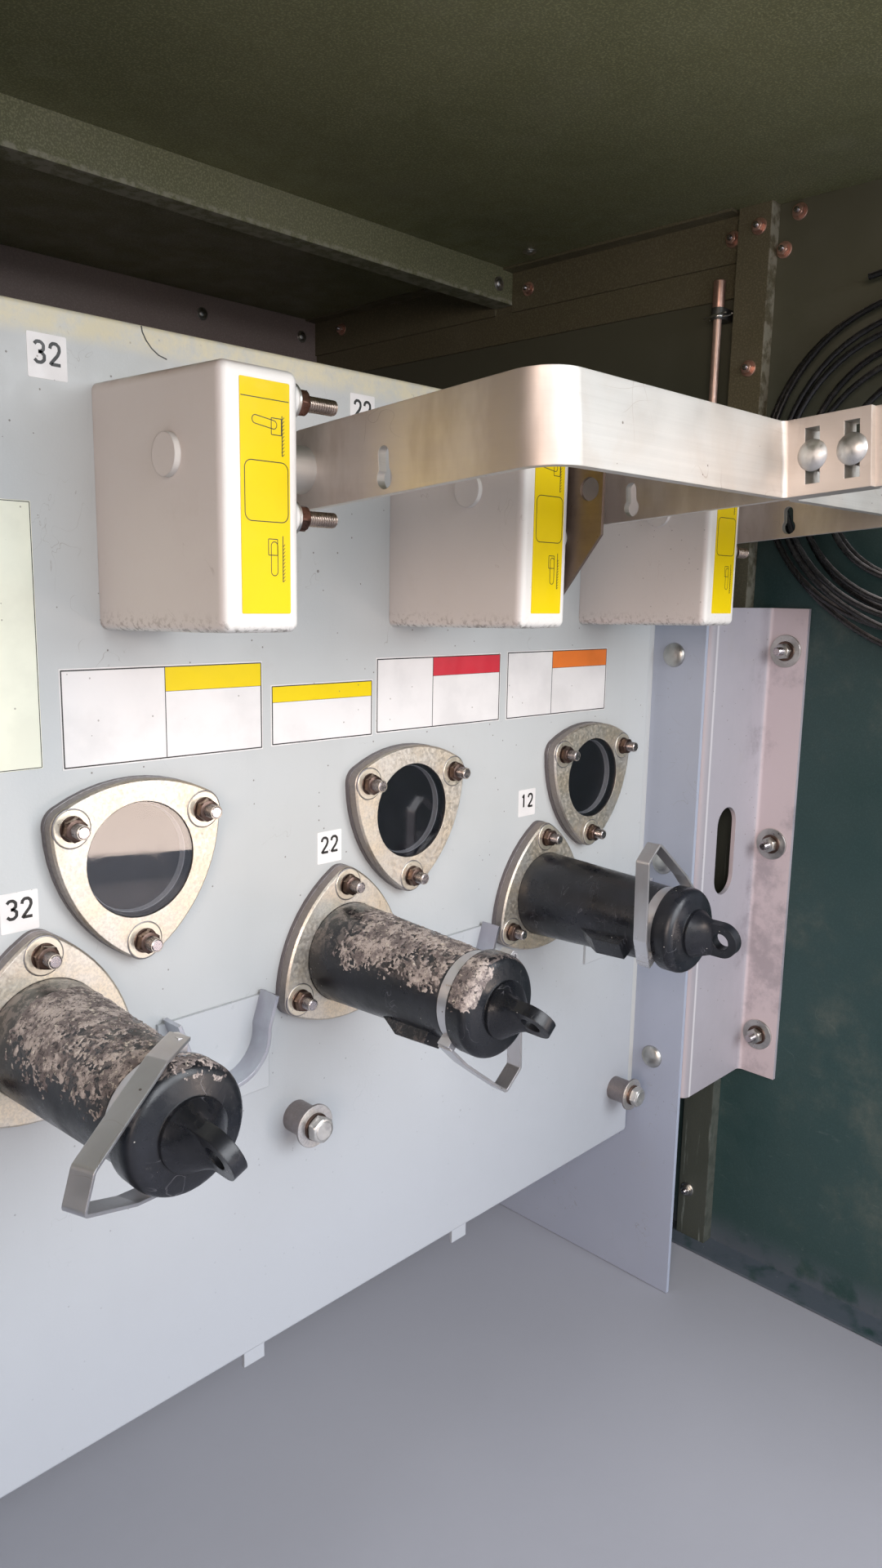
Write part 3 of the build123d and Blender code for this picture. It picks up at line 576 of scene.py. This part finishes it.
def makePiece(name, parts, body="cabinet", sharp=35, replaces=()):
    # parts: (shell, finish); all shells in one mesh, millimetres to metres
    points, corners, sizes, finish, start = [], [], [], [], 0
    used = list(dict.fromkeys(material for _, material in parts))
    for (shell, faces), material in parts:
        points.append(shell)
        for group in faces:
            if len(group):
                corners.append((group + start).ravel())
                sizes.append(np.full(len(group), group.shape[1]))
                finish.append(np.full(len(group), used.index(material)))
        start += len(shell)
    points = np.concatenate(points) * mm
    corners, sizes, finish = (np.concatenate(part) for part in (corners, sizes, finish))
    keep, corners = np.unique(corners, return_inverse=True)
    points = points[keep]
    mesh = bpy.data.meshes.new(name)
    mesh.vertices.add(len(points))
    mesh.vertices.foreach_set("co", points.ravel().astype(np.float32))
    mesh.loops.add(len(corners))
    mesh.loops.foreach_set("vertex_index", corners.astype(np.int32))
    mesh.polygons.add(len(sizes))
    mesh.polygons.foreach_set("loop_start", (np.cumsum(sizes) - sizes).astype(np.int32))
    mesh.polygons.foreach_set("material_index", finish.astype(np.int32))
    mesh.update(calc_edges=True)
    mesh.validate()
    mesh.polygons.foreach_set("use_smooth", np.ones(len(mesh.polygons), bool))
    mesh.set_sharp_from_angle(angle=math.radians(sharp))
    for material in used:
        mesh.materials.append(material)
    piece = bpy.data.objects.new(name, mesh)
    bpy.context.scene.collection.objects.link(piece)
    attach(piece, body)
    if replaces:
        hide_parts(*replaces)
    print(name, len(mesh.polygons), "faces")
    return piece


# cable coil, hung on the right wall
coil = dict(x=893.0, y=-248.0, z=930.0, cable=6.6, turns=8, perTurn=24, layer=9.2,
            sizes=(204, 190, 170, 184, 146, 166, 132, 120, 112, 112))


def coilPath(c):
    # angle runs on; the radius goes from one turn's size to the next and swells by a wave of twice the angle,
    # each turn has its own centre, and the layers from the wall follow one another in threes
    t = np.arange(c["turns"] * c["perTurn"] + 1) / c["perTurn"]
    k = np.floor(t)
    within = t - k
    ease = within ** 2 * (3 - 2 * within)
    radius = np.interp(t, np.arange(c["turns"] + 2), c["sizes"])
    layers = np.array([0, 1, -1, 0, 1, -1, 0, 1, -1, 0], float)
    x = layers[k.astype(int)] * (1 - ease) + layers[k.astype(int) + 1] * ease
    shiftY = 5.0 * np.sin(2.4 * t + 0.6)
    shiftZ = 4.0 * np.cos(1.9 * t)
    angle = 2 * np.pi * t + 1.1
    wobble = 1 + 0.075 * np.cos(2 * (angle - 0.5) + 0.25 * k) + 0.012 * np.sin(3 * angle + 1.3 * t)
    y = c["y"] + shiftY + radius * wobble * np.cos(angle)
    z = c["z"] + shiftZ + radius * wobble * np.sin(angle)
    return np.stack([c["x"] + x * c["layer"], y, z], -1)


def makeCoil(c):
    path = coilPath(c) * mm
    curve = bpy.data.curves.new("groundCableCoil", "CURVE")
    curve.dimensions = "3D"
    curve.bevel_depth = c["cable"] / 2 * mm
    curve.bevel_resolution = 4
    curve.resolution_u = 3
    curve.use_fill_caps = True
    spline = curve.splines.new("NURBS")
    spline.points.add(len(path) - 1)
    spline.points.foreach_set("co", np.concatenate([path, np.ones((len(path), 1))], 1).ravel())
    spline.order_u = 3
    spline.use_endpoint_u = True
    cable = bpy.data.objects.new("groundCableCoil", curve)
    curve.materials.append(finishes["cable"])
    bpy.context.scene.collection.objects.link(cable)
    middle = (path[1:] + path[:-1]) / 2
    length = np.linalg.norm(np.diff(middle, axis=0), axis=1).sum()
    length += np.linalg.norm(middle[0] - path[0]) + np.linalg.norm(middle[-1] - path[-1])
    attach(cable, "cabinet")
    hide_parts("cable_coil")
    print("cable coil", round(float(length), 2), "m")


makeCoil(coil)


# fasteners
def nut(across, height):
    # r(turn) = half the width across flats over the cosine of the turn from each flat's middle,
    # held under a circle that shrinks at both ends
    turn = np.linspace(0, 2 * np.pi, 48, endpoint=False)
    flat = across / 2 / np.cos((turn + np.pi / 6) % (np.pi / 3) - np.pi / 6)
    limits = np.array([0, 0.94, 1.04, 1.16, 1.16, 1.04, 0.90, 0]) * across / 2
    heights = np.array([0, 0, 0.06, 0.14, 0.80, 0.93, 1.0, 1.0]) * height
    radius = np.minimum(flat[None], limits[:, None])
    outline = np.stack([np.cos(turn), np.sin(turn)], -1)[None] * radius[..., None]
    return stack(outline, heights)


def threaded(radius, length, pitch=1.5, count=20):
    # r = full radius less the thread's depth times a wave of (height over pitch - turn over 2 pi)
    h = np.concatenate([[0], np.arange(0, length - 1.0, pitch / 4), [length - 1.0, length, length]])
    turn = np.linspace(0, 2 * np.pi, count, endpoint=False)
    wave = 0.5 - 0.5 * np.cos(2 * np.pi * (h[:, None] / pitch) - turn[None])
    radii = radius - 0.16 * pitch * 2 * wave * (h[:, None] < length - 0.9)
    radii[0], radii[-1] = 0, 0
    radii[-2] = radius * 0.72
    outline = np.stack([np.cos(turn), np.sin(turn)], -1)[None] * radii[..., None]
    return stack(outline, h)


def washer(radius, thick):
    return turned([0, radius, radius, radius - 0.35, 0], [0, 0, thick - 0.35, thick, thick], 36)


def dome(radius, height, rows=8):
    # r = R cos a, h = H sin a, from the rim to the crown
    a = np.linspace(0, np.pi / 2, rows)
    radii = np.concatenate([[0, radius], radius * np.cos(a[1:])])
    radii[-1] = 0
    return turned(radii, np.concatenate([[0, 0], 0.6 + height * np.sin(a[1:])]), 32)


def fastened(at, way, *rows):
    # each row: shell, height over the seat, finish and, for flats and threads, a spin
    return [(put(shell, at, way, sum(spin), lift), finishes[kind]) for shell, lift, kind, *spin in rows]


flangeStud = dict(circle=56.6, spot=12.6, spotHeight=0.7, washer=(8.6, 0.9), nut=(14.3, 6.2), thread=4.95,
                  pitch=1.3, tip=29.6)


def flangeHardware(number, way):
    # a raised machined spot, washer, hex nut and threaded tip on each stud of the windows and bushings
    s = flangeStud
    edge, ring = washer(s["spot"] + 0.9, 1.1), washer(*s["washer"])
    spot = washer(s["spot"], s["spotHeight"] + 1)
    hexagon, stud = nut(*s["nut"]), threaded(s["thread"], s["tip"] + window["face"], s["pitch"])
    rng = np.random.default_rng(11 + int(number))
    parts = []
    for phase in phases.values():
        for x, z, first in ((way + phase, window["z"], -90), (way + phase + bushing["x"], bushing["z"], 90)):
            for a in np.radians(first + 120 * np.arange(3)):
                spin = rng.uniform(0, 60)
                at = (x + s["circle"] * math.cos(a), window["face"], z + s["circle"] * math.sin(a))
                parts += fastened(at, "out", (edge, -0.9, "pad"), (spot, -1, "spot"),
                                  (ring, s["spotHeight"], "nutBrown"),
                                  (hexagon, s["spotHeight"] + s["washer"][1], "nutBrown", spin),
                                  (stud, 0, "thread", spin))
    makePiece("flange_stud_nuts_" + number, parts)


housingStud = dict(x=41, y=(-124, -48), z=(844, 910), washer=(10.5, 1.8), nut=(14.3, 9.0),
                   thread=(4.8, 34.0, 1.8))


def housingHardware(number, way):
    # four studs with washer and nut on each housing's right side
    s = housingStud
    ring, hexagon, stud = washer(*s["washer"]), nut(*s["nut"]), threaded(*s["thread"])
    rng = np.random.default_rng(21 + int(number))
    parts = []
    for phase in phases.values():
        for y in s["y"]:
            for z in s["z"]:
                spin = rng.uniform(0, 60)
                parts += fastened((way + phase + s["x"], y, z), "right", (ring, 0, "zinc"),
                                  (hexagon, s["washer"][1], "darkCopper", spin),
                                  (stud, 0, "dullThread", spin))
    makePiece("housing_stud_nuts_" + number, parts)


boss = dict(face=-23.0, fromWay=(-115.5, 381), corner=(737.5, 253))


def bossHardware():
    # a wide and a thick washer under each hex head, which has a turned top
    wide, thick, head, top = washer(17.6, 2.2), washer(11.0, 2.4), nut(19.0, 8.4), washer(7.6, 0.6)
    places = [(way + boss["fromWay"][0], boss["fromWay"][1]) for way in ways.values()]
    places += [(sign * boss["corner"][0], boss["corner"][1]) for sign in (-1, 1)]
    parts = []
    for x, z in places:
        parts += fastened((x, boss["face"], z), "out", (wide, 0, "boss"), (thick, 2.2, "nutBrown"),
                          (head, 4.6, "fastener", 17 + x), (top, 13.0, "fastener"))
    makePiece("ground_boss_bolts", parts)


legBolts = dict(y=-20, z=(741, 512, 283), head=(13.0, 5.2))


def legHardware():
    # the domed heads show on the tank's side of each leg
    head = dome(*legBolts["head"])
    parts = []
    for sign, way in sides:
        for z in legBolts["z"]:
            parts += fastened((sign * cabinet["legFace"], legBolts["y"], z), way, (head, 0, "zinc"))
    makePiece("leg_carriage_bolts", parts)


bracketBolts = dict(sheet=5, y=-84, z=(745, 525, 293))


def bracketHardware():
    # two washers, a nut and a stud on each bracket's wall flange
    wide, thick, hexagon, stud = washer(18.0, 2.4), washer(11.0, 1.6), nut(15.9, 8.0), threaded(4.8, 22.0)
    parts = []
    for sign, way in sides:
        for z in bracketBolts["z"]:
            at = (sign * (cabinet["wall"] - bracketBolts["sheet"]), bracketBolts["y"], z)
            parts += fastened(at, way, (wide, 0, "zinc"), (thick, 2.4, "nutBrown"),
                              (hexagon, 4, "zinc", 13 + z), (stud, 0, "thread"))
    makePiece("bracket_wall_nuts", parts)


# place along the wall, height, and the face that each bolt sits on
wallBolts = [(305, 1190, "railFace"), (13, 1191, "railFace"), (-24, 1194, "postFace"),
             (-22, 1050, "postFace"), (-11, 66, "postFace"), (-46, 1170, "wall"), (-61, 1205, "wall"),
             (-300, 1190, "wall"), (-500, 1190, "wall"), (675, 1196, "railFace")]
# one through the beam's front, one up through the roof, two through the back wall
roundBolts = [(880, 333, 1196, "out"), (859, 265, 1217, "down"), (880, cabinet["back"], 1190, "out"),
              (700, cabinet["back"], 1190, "out")]


def wallHardware():
    ring, hexagon, stud, head = washer(8.6, 1.4), nut(11.1, 5.6), threaded(3.1, 10.5, 1.2), dome(6.2, 3.6)
    parts = []
    for sign, way in sides:
        for y, z, face in wallBolts:
            kind = "copper" if z > 1000 else "zinc"
            parts += fastened((sign * cabinet[face], y, z), way, (ring, 0, kind), (hexagon, 1.4, kind, y),
                              (stud, 0, "thread"))
        for x, y, z, face in roundBolts:
            parts += fastened((sign * x, y, z), face, (ring, 0, "zinc"), (head, 0, "zinc"))
    makePiece("wall_bolts", parts)


rodEnd = dict(x=891.0, y=17.0, sleeve=1111, clip=1107, wire=1.0)


def rodSleeve():
    # the thicker end of each rod, and a collar with a wire clip's two thin wings under it
    r = rodEnd
    sleeve = turned([0, 6.2, 6.6, 6.6, 5.6, 0], [0, 0, 1, 34, 35, 35], 24)
    collar = turned([0, 7.6, 7.8, 7.8, 7.6, 0], [0, 0, 0.6, 2.0, 2.6, 2.6], 24)
    turn = np.linspace(0.6, 5.7, 30)
    loop = np.stack([11 + 9.5 * np.cos(turn), 7 * np.sin(turn)], -1)
    wings = [ribbon(loop * (side, 1), r["wire"], 1.2) for side in (1, -1)]
    parts = []
    for sign in (1, -1):
        at = (sign * r["x"], r["y"], r["clip"])
        parts += fastened(at, "up", (sleeve, r["sleeve"] - r["clip"], "copper"), (collar, 0, "zinc"),
                          *((wing, 1, "zinc", 70) for wing in wings))
    makePiece("prop_rod_ends", parts)


for number, way in ways.items():
    flangeHardware(number, way)
    housingHardware(number, way)
bossHardware()
legHardware()
bracketHardware()
wallHardware()
rodSleeve()
print("fasteners made")


# windows: a clear pane over a near-black bore and a near-black chamber, both painted shade, with a pale ring
# wall
glass = dict(radius=39.7, ring=37.2, pane=12.6, step=5.8, back=0.3)


def windowPane():
    # the pane lets most of the light through; dust specks on it are solid
    f = Finish("windowGlass", IOR=2.2)
    dust = f.either(f.specks(420, 0.10, 0.10), f.specks(160, 0.05, 0.10))
    f.set("Base Color", f.mix(f.both(dust, 0.6), (0.008, 0.009, 0.013), (0.35, 0.34, 0.33)))
    f.set("Alpha", f.either(f.both(dust, 0.6), 0.36))
    f.set("Roughness", f.cloud((42, 6, 0.6), 0.45, 0.75, 0.02, 0.10))
    f.relief(f.noise(9, 2), 0.0003, 0.12)
    return f.material


def windowGlass():
    clear = windowPane()
    pale = plainFinish("windowRingWall", (0.88, 0.91, 1.0), 0.30, 0.0, 0.05, 300)
    # the bore's lining and the chamber's floor are painted shade
    dark = plainFinish("windowBoreShade", (0.012, 0.012, 0.016), 0.45, 0.0, 0.1, 300)
    chamber = plainFinish("windowChamberShade", (0.012, 0.011, 0.016), 0.34, 0.0, 0.4, 60)
    parts = []
    g = glass
    for way in ways.values():
        for phase in phases.values():
            at = (way + phase, 0, window["z"])
            # pane, slightly domed: h = pane + 0.3 (1 - (r / R)^2)
            r = np.array([0, 39.4, 39.4, 30, 20, 10, 0])
            h = np.array([1.0, 1.0, 0, 0, 0, 0, 0]) * (g["pane"] - 1.4)
            h[2:] = g["pane"] - 0.3 + 0.3 * (1 - (r[2:] / 39.4) ** 2)
            parts.append((put(turned(r, h, 64), at), clear))
            # bore and ring wall face inwards: the section runs from the outer rim to the chamber's middle
            bore, wall = g["radius"] - 0.4, g["ring"] + 0.5
            floor = g["ring"] - 0.2
            for radii, heights, finish in (((g["radius"], bore), (g["pane"] - 1.5, g["step"]), dark),
                                           ((bore, wall), (g["step"], g["step"]), dark),
                                           ((wall, g["ring"], g["ring"], floor),
                                            (g["step"], g["step"] - 0.4, g["back"] + 0.4, g["back"]), pale),
                                           ((floor, 0), (g["back"], g["back"]), chamber)):
                parts.append((put(turned(radii, heights, 64), at), finish))
    makePiece("window_glass_rings", parts, replaces=("window_glasses",))


windowGlass()


# labels: bare plates with borders, plain numbers and handle outlines
def vinyl(name, colour, worn=0.12, gloss=0.5):
    f = Finish(name, Roughness=0.38)
    f.shader.inputs["Specular IOR Level"].default_value = gloss
    f.colour = f.mix(f.cloud((18, 5), 0.4, 0.7), colour, tuple(v * (1 - worn) for v in colour))
    f.coat(f.both(f.specks(200, 0.14, 0.10), 0.6), (0.18, 0.15, 0.11))
    f.set("Base Color", f.colour)
    f.set("Roughness", f.cloud((80, 3), 0.3, 0.7, 0.30, 0.48))
    f.relief(f.noise(25, 3), 0.0003, 0.25)
    return f.material


inks = {
    "white": vinyl("labelWhite", (0.80, 0.77, 0.75)), "cream": vinyl("labelCream", (0.86, 0.86, 0.70)),
    "yellow": vinyl("labelYellow", (0.84, 0.62, 0.004), 0.05, 0.2),
    "red": vinyl("labelRed", (0.62, 0.03, 0.05)), "orange": vinyl("labelOrange", (0.82, 0.20, 0.03)),
    "ink": vinyl("labelInk", (0.015, 0.014, 0.012), 0.3),
}
digits = {
    "1": [(0.25, 0.78), (0.5, 1), (0.5, 0.5), (0.5, 0)],
    "2": [(0.08, 0.74), (0.14, 0.9), (0.32, 1), (0.62, 1), (0.84, 0.88), (0.88, 0.68), (0.72, 0.46),
          (0.38, 0.22), (0.08, 0.0), (0.5, 0.0), (0.94, 0.0)],
    "3": [(0.1, 0.86), (0.3, 0.99), (0.62, 0.99), (0.86, 0.86), (0.84, 0.64), (0.62, 0.53), (0.40, 0.52),
          (0.66, 0.50), (0.90, 0.36), (0.88, 0.14), (0.62, 0.01), (0.3, 0.01), (0.08, 0.14)],
}
stickers = [
    # x and z limits in millimetres, band colour
    dict(x=(99.5, 256.5), z=(685, 750), band="yellow", split=0.485),
    dict(x=(264, 365.8), z=(686, 732), band="yellow", split=0.0),
    dict(x=(369.5, 522.5), z=(687, 749), band="red", split=0.43),
    dict(x=(531.5, 687), z=(687, 750), band="orange", split=0.43),
]
tags = [
    (101.5, 937, "32"), (353.5, 937, "22"), (608, 937, "12"),
    (66.5, 598, "32"), (320.5, 600, "22"), (566.5, 604.5, "12"),
]


def labelPlate(at, width, height, ink, corner=2.0, thick=0.35):
    return put(plate(roundedBox(width, height, corner), thick), at), inks[ink]


def inked(path, width, x, z, thick=0.12, closed=False):
    # a printed line that stands a hair's breadth over its label
    return put(ribbon(path, width, thick, closed), (x, -0.28, z)), inks["ink"]


def stickerParts():
    parts = []
    margin = 1.6
    for shift in (0.0, -762.0):
        for s in stickers:
            x, z = sum(s["x"]) / 2 + shift, sum(s["z"]) / 2
            w, h = s["x"][1] - s["x"][0], s["z"][1] - s["z"][0]
            parts.append(labelPlate((x, 0.05, z), w, h, "white", 0.3))
            parts.append(inked(roundedBox(w - 2.6, h - 2.6, 0.2), 0.9, x, z, closed=True))
            # the band fills the top quarter, right of the split
            left = s["x"][0] + shift + max(w * s["split"], margin)
            right = s["x"][1] + shift - margin
            strip = plate(roundedBox(right - left, h * 0.25, 0.1), 0.15, 0.05)
            parts.append((put(strip, ((left + right) / 2, -0.27, z + h * 0.375 - margin)), inks[s["band"]]))
            under = [(end, h * 0.25 - margin) for end in (left - x, 0, right - x)]
            parts.append(inked(under, 0.6, x, z, 0.13))
            if s["split"]:
                parts.append(inked([(0, margin - h / 2), (0, 0), (0, h / 2 - margin)], 0.6, left - 0.3, z))
        parts.append(labelPlate((53.5 + shift, 0.05, 770), 66, 164, "cream", 0.6))
        parts.append(inked(roundedBox(64.6, 162.6, 0.4), 0.5, 53.5 + shift, 770, closed=True))
        for x, z, text in tags:
            parts.append(labelPlate((x + shift, 0.05, z), 25, 26, "white", 1.0))
            for k, digit in enumerate(text):
                path = (np.array(digits[digit]) - 0.5) * (7.5, 12.0) + (-4.9 + 9.8 * k, 2.0)
                steps = np.linspace(0, 1, len(path))
                fine = np.stack([np.interp(np.linspace(0, 1, 40), steps, path[:, i]) for i in range(2)], -1)
                parts.append(inked(fine, 2.0, x + shift, z, 0.15))
    return parts


def strayHair():
    # a bent hair stuck under the plate's top edge
    path = np.array([(-9, 9.5), (-8.4, 6.0), (-6.0, 1.5), (-2.0, -3.0), (3.0, -6.4), (9, -8.0)])
    return [(put(ribbon(path, 0.7, 0.3), (174.4, -0.05, 956.5)), inks["ink"])]


makePiece("front_labels", stickerParts() + strayHair())


def capsule(length, width):
    return roundedBox(length, width, min(length, width) / 2 - 0.01, 8)


def handleOutlines():
    # a header line; the raised handle with its pivot and scale; a rounded frame; the lowered handle with its
    # pivot and scale; the scales' ticks
    bend = math.radians(-8)
    tilt = np.array([[math.cos(bend), math.sin(bend)], [-math.sin(bend), math.cos(bend)]])
    marks = [
        ([(-16.4, 54), (0, 54), (16.4, 54)], 0.5, False),
        (capsule(17, 4.6) @ tilt + (-0.5, 41.5), 0.5, True),
        (roundedBox(7, 9, 0.4) + (7.6, 39.8), 0.5, True),
        ([(11.6, 24), (11.6, 34), (11.6, 46)], 0.6, False),
        (roundedBox(30, 33, 4.5) + (0.6, 4), 0.55, True),
        (capsule(4.6, 19) + (5.6, -33), 0.5, True),
        (roundedBox(6.4, 9, 0.4) + (4.6, -26.5), 0.5, True),
        ([(11.6, -46), (11.6, -34), (11.6, -20)], 0.6, False),
    ]
    marks += [([(11.8, z), (12.5, z + 0.7), (13.2, z + 1.4)], 0.35, False)
              for base in (24, -46) for z in range(base, base + 22, 2)]
    return [ribbon(path, width, 0.12, closed) for path, width, closed in marks]


housingLabel = dict(x=13.0, y=-138.05, z=852, size=(34, 128))


def handleLabels():
    # a yellow strip with both positions of the handle on each housing's front
    at = housingLabel
    marks = handleOutlines()
    parts = []
    for way in ways.values():
        for phase in phases.values():
            x = way + phase + at["x"]
            parts.append(labelPlate((x, at["y"], at["z"]), *at["size"], "yellow", 0.8, 0.4))
            parts += [(put(mark, (x, at["y"] - 0.34, at["z"])), inks["ink"]) for mark in marks]
    makePiece("handle_position_labels", parts)


handleLabels()
print("labels made")


# dried mud on the caps
def valueNoise(u, v, seed, wrapU):
    # smooth interpolation between random values on whole numbers, repeating every wrapU along u
    rng = np.random.default_rng(seed)
    table = rng.random((wrapU, 512))
    iu, iv = np.floor(u).astype(int), np.floor(v).astype(int)
    fu, fv = u - iu, v - iv
    fu, fv = fu * fu * (3 - 2 * fu), fv * fv * (3 - 2 * fv)
    a, b = table[iu % wrapU, iv % 512], table[(iu + 1) % wrapU, iv % 512]
    c, d = table[iu % wrapU, (iv + 1) % 512], table[(iu + 1) % wrapU, (iv + 1) % 512]
    return (a * (1 - fu) + b * fu) * (1 - fv) + (c * (1 - fu) + d * fu) * fv


mud = {
    # share covered, middle and reach round the cap in degrees, first on the sleeve, then on the head
    "c": dict(cover=(0.62, 0.52), middle=(112.0, 74.0), reach=(78.0, 40.0), from_=22.0),
    "b": dict(cover=(0.60, 0.80), middle=(116.0, 132.0), reach=(64.0, 46.0), from_=28.0),
}
# repeats round the cap, millimetres along it, and the seed's own number
mudNoises = [(46, 4.6, 0), (104, 2.1, 1), (230, 1.0, 2), (84, 2.8, 4), (9, 27, 3)]
# the cap's outline: distance from the plate, radius, and the two parts of its outward direction
rim = np.radians(np.linspace(0, 76.8, 7))
capOutline = np.concatenate([
    [(20, 40.5, 0, 1), (146, 34.6, 0, 1), (150, 34.8, 0, 1), (159, 34.8, 0, 1), (161, 38, 0, 1)],
    np.stack([170.7 + 8 * np.sin(rim), 30 + 8 * np.cos(rim), np.sin(rim), np.cos(rim)], -1),
    [(180, 25.2, 0.973, 0.229)]])


def mudFinish():
    f = Finish("driedMud", Roughness=0.8)
    f.colour = f.mix(f.cloud((95, 6, 0.65), 0.42, 0.58), (0.48, 0.41, 0.375), (0.17, 0.14, 0.135))
    f.coat(f.cloud((300, 4, 0.7), 0.57, 0.66, 0, 0.8), (0.70, 0.63, 0.53))
    f.coat(f.band(f.noise(330, 5, 0.75, bend=0.6), 0.53, 0.60, 0, 0.9), (0.035, 0.030, 0.032))
    f.set("Base Color", f.colour)
    f.relief(f.noise(520, 4, 0.75, bend=0.6), 0.0008, 0.9)
    return f.material


def mudCrust():
    # point = cap outline + crust along its outward direction; ridge = 1 - |2 n - 1| of a noise n makes the
    # crumbs, 0 to 0.8 mm thick; where no mud is wanted the patch lies 0.6 mm under the skin; its underside
    # runs 1.4 mm deep
    finish = mudFinish()
    parts = []
    for way, shift, rows, columns in (("2", 0, 165, 190), ("1", 40, 90, 110)):
        for name, m in mud.items():
            span = m["reach"][0] + 6
            turn = np.radians(np.linspace(m["middle"][0] - span, m["middle"][0] + span, columns))[None]
            along = np.concatenate([[0], np.hypot(*np.diff(capOutline[:, :2], axis=0).T).cumsum()])
            s = np.linspace(m["from_"] - 20, along[-1] - 0.5, rows)
            y, base, outY, outR = (np.interp(s, along, capOutline[:, k])[:, None] for k in range(4))
            s = s[:, None]
            around = turn / (2 * np.pi) + 1
            seed = 100 + shift + ord(name)
            coarse, medium, fine, crumb, patch = (
                valueNoise(around * count + 0 * s, s / step + 0 * around, seed + k, count)
                for count, step, k in mudNoises)
            flakes = 0.40 * coarse + 0.35 * medium + 0.25 * fine
            ridge = 1 - np.abs(2 * crumb - 1)
            head = np.clip((y - 147) / 10, 0, 1)
            cover, middle, reach = (m[k][0] * (1 - head) + m[k][1] * head
                                    for k in ("cover", "middle", "reach"))
            away = np.abs(np.degrees(turn) - middle) / reach
            ends = np.minimum((s - s[0]) / 14, (s[-1] - s) / 4).clip(0, 1)
            bare = np.clip((7.5 - np.abs(y - 154)) / 2, 0, 0.8)  # little of it sticks to the strap's band
            want = cover * (1.15 - away ** 2) * (0.50 + 1.0 * patch) * ends * (1 - bare)
            over = np.clip((want - 0.72 * flakes - 0.34 * (1 - ridge) - 0.04) * 6, -1, 1)
            crust = np.where(over > 0, 0.10 + (0.18 + 0.50 * ridge ** 2) * over ** 0.5, 0.6 * over)
            back = np.broadcast_to(np.linspace(turn[0, -1], turn[0, 0], 5)[None], (rows, 5))
            turn = np.concatenate([np.broadcast_to(turn, (rows, columns)), back], 1)
            crust = np.concatenate([crust, np.full((rows, 5), -1.4)], 1)
            radius, heights = base + crust * outR, y + crust * outY
            points = np.stack([radius * np.cos(turn), radius * np.sin(turn), heights], -1)
            closed = np.concatenate([points[:1] * 0 + points[:1].mean(1, keepdims=True), points,
                                     points[-1:] * 0 + points[-1:].mean(1, keepdims=True)])
            at = (ways[way] + phases[name] + bushing["x"], 0, bushing["z"])
            parts.append((put(sheetGrid(closed, False, True), at), finish))
    makePiece("cap_mud", parts, sharp=60)


mudCrust()
print("mud made")


# floor, light and world
def makeFloor():
    f = Finish("studioFloor", Roughness=0.75)
    f.set("Base Color", f.mix(f.cloud((1.4, 6), 0.3, 0.7), (0.40, 0.41, 0.46), (0.36, 0.37, 0.42)))
    f.relief(f.noise(70, 5, 0.65), 0.001, 0.2)
    size = 6.0
    corners = [(x, y, -0.0006) for y in (-size, size) for x in (-size, size)]
    mesh = bpy.data.meshes.new("studioFloor")
    mesh.from_pydata(corners, [], [(0, 1, 3, 2)])
    mesh.materials.append(f.material)
    floor = bpy.data.objects.new("studioFloor", mesh)
    bpy.context.scene.collection.objects.link(floor)


lamps = [
    dict(name="skyPanel", place=(0.7, -3.0, 2.0), aim=(0.3, 0.0, 1.05), size=(3.2, 2.2), power=128,
         colour=(0.93, 0.96, 1.0)),
    dict(name="warmCard", place=(1.27, -1.96, 0.27), aim=(0.1465, 0.0, 0.621), size=(0.50, 0.36), power=5.0,
         colour=(1.0, 0.80, 0.68)),
    dict(name="warmSide", place=(-2.4, -1.9, 1.5), aim=(0.6, 0.0, 0.85), size=(1.4, 1.8), power=75,
         colour=(1.0, 0.80, 0.68)),
]


def makeLights():
    for lamp in lamps:
        data = bpy.data.lights.new(lamp["name"], "AREA")
        data.shape = "RECTANGLE"
        data.size, data.size_y = lamp["size"]
        data.energy = lamp["power"]
        data.color = lamp["colour"]
        light = bpy.data.objects.new(lamp["name"], data)
        bpy.context.scene.collection.objects.link(light)
        light.location = lamp["place"]
        toward = Vector(lamp["aim"]) - Vector(lamp["place"])
        light.rotation_euler = toward.to_track_quat("-Z", "Y").to_euler()
    world = bpy.data.worlds.new("studio")
    bpy.context.scene.world = world
    world.use_nodes = True
    back = world.node_tree.nodes["Background"]
    back.inputs[0].default_value = (0.86, 0.92, 1.0, 1)
    back.inputs[1].default_value = 0.78
    bpy.context.scene.view_settings.view_transform = "Standard"
    bpy.context.scene.view_settings.exposure = 0.0


makeFloor()
makeLights()
print("studio lit")
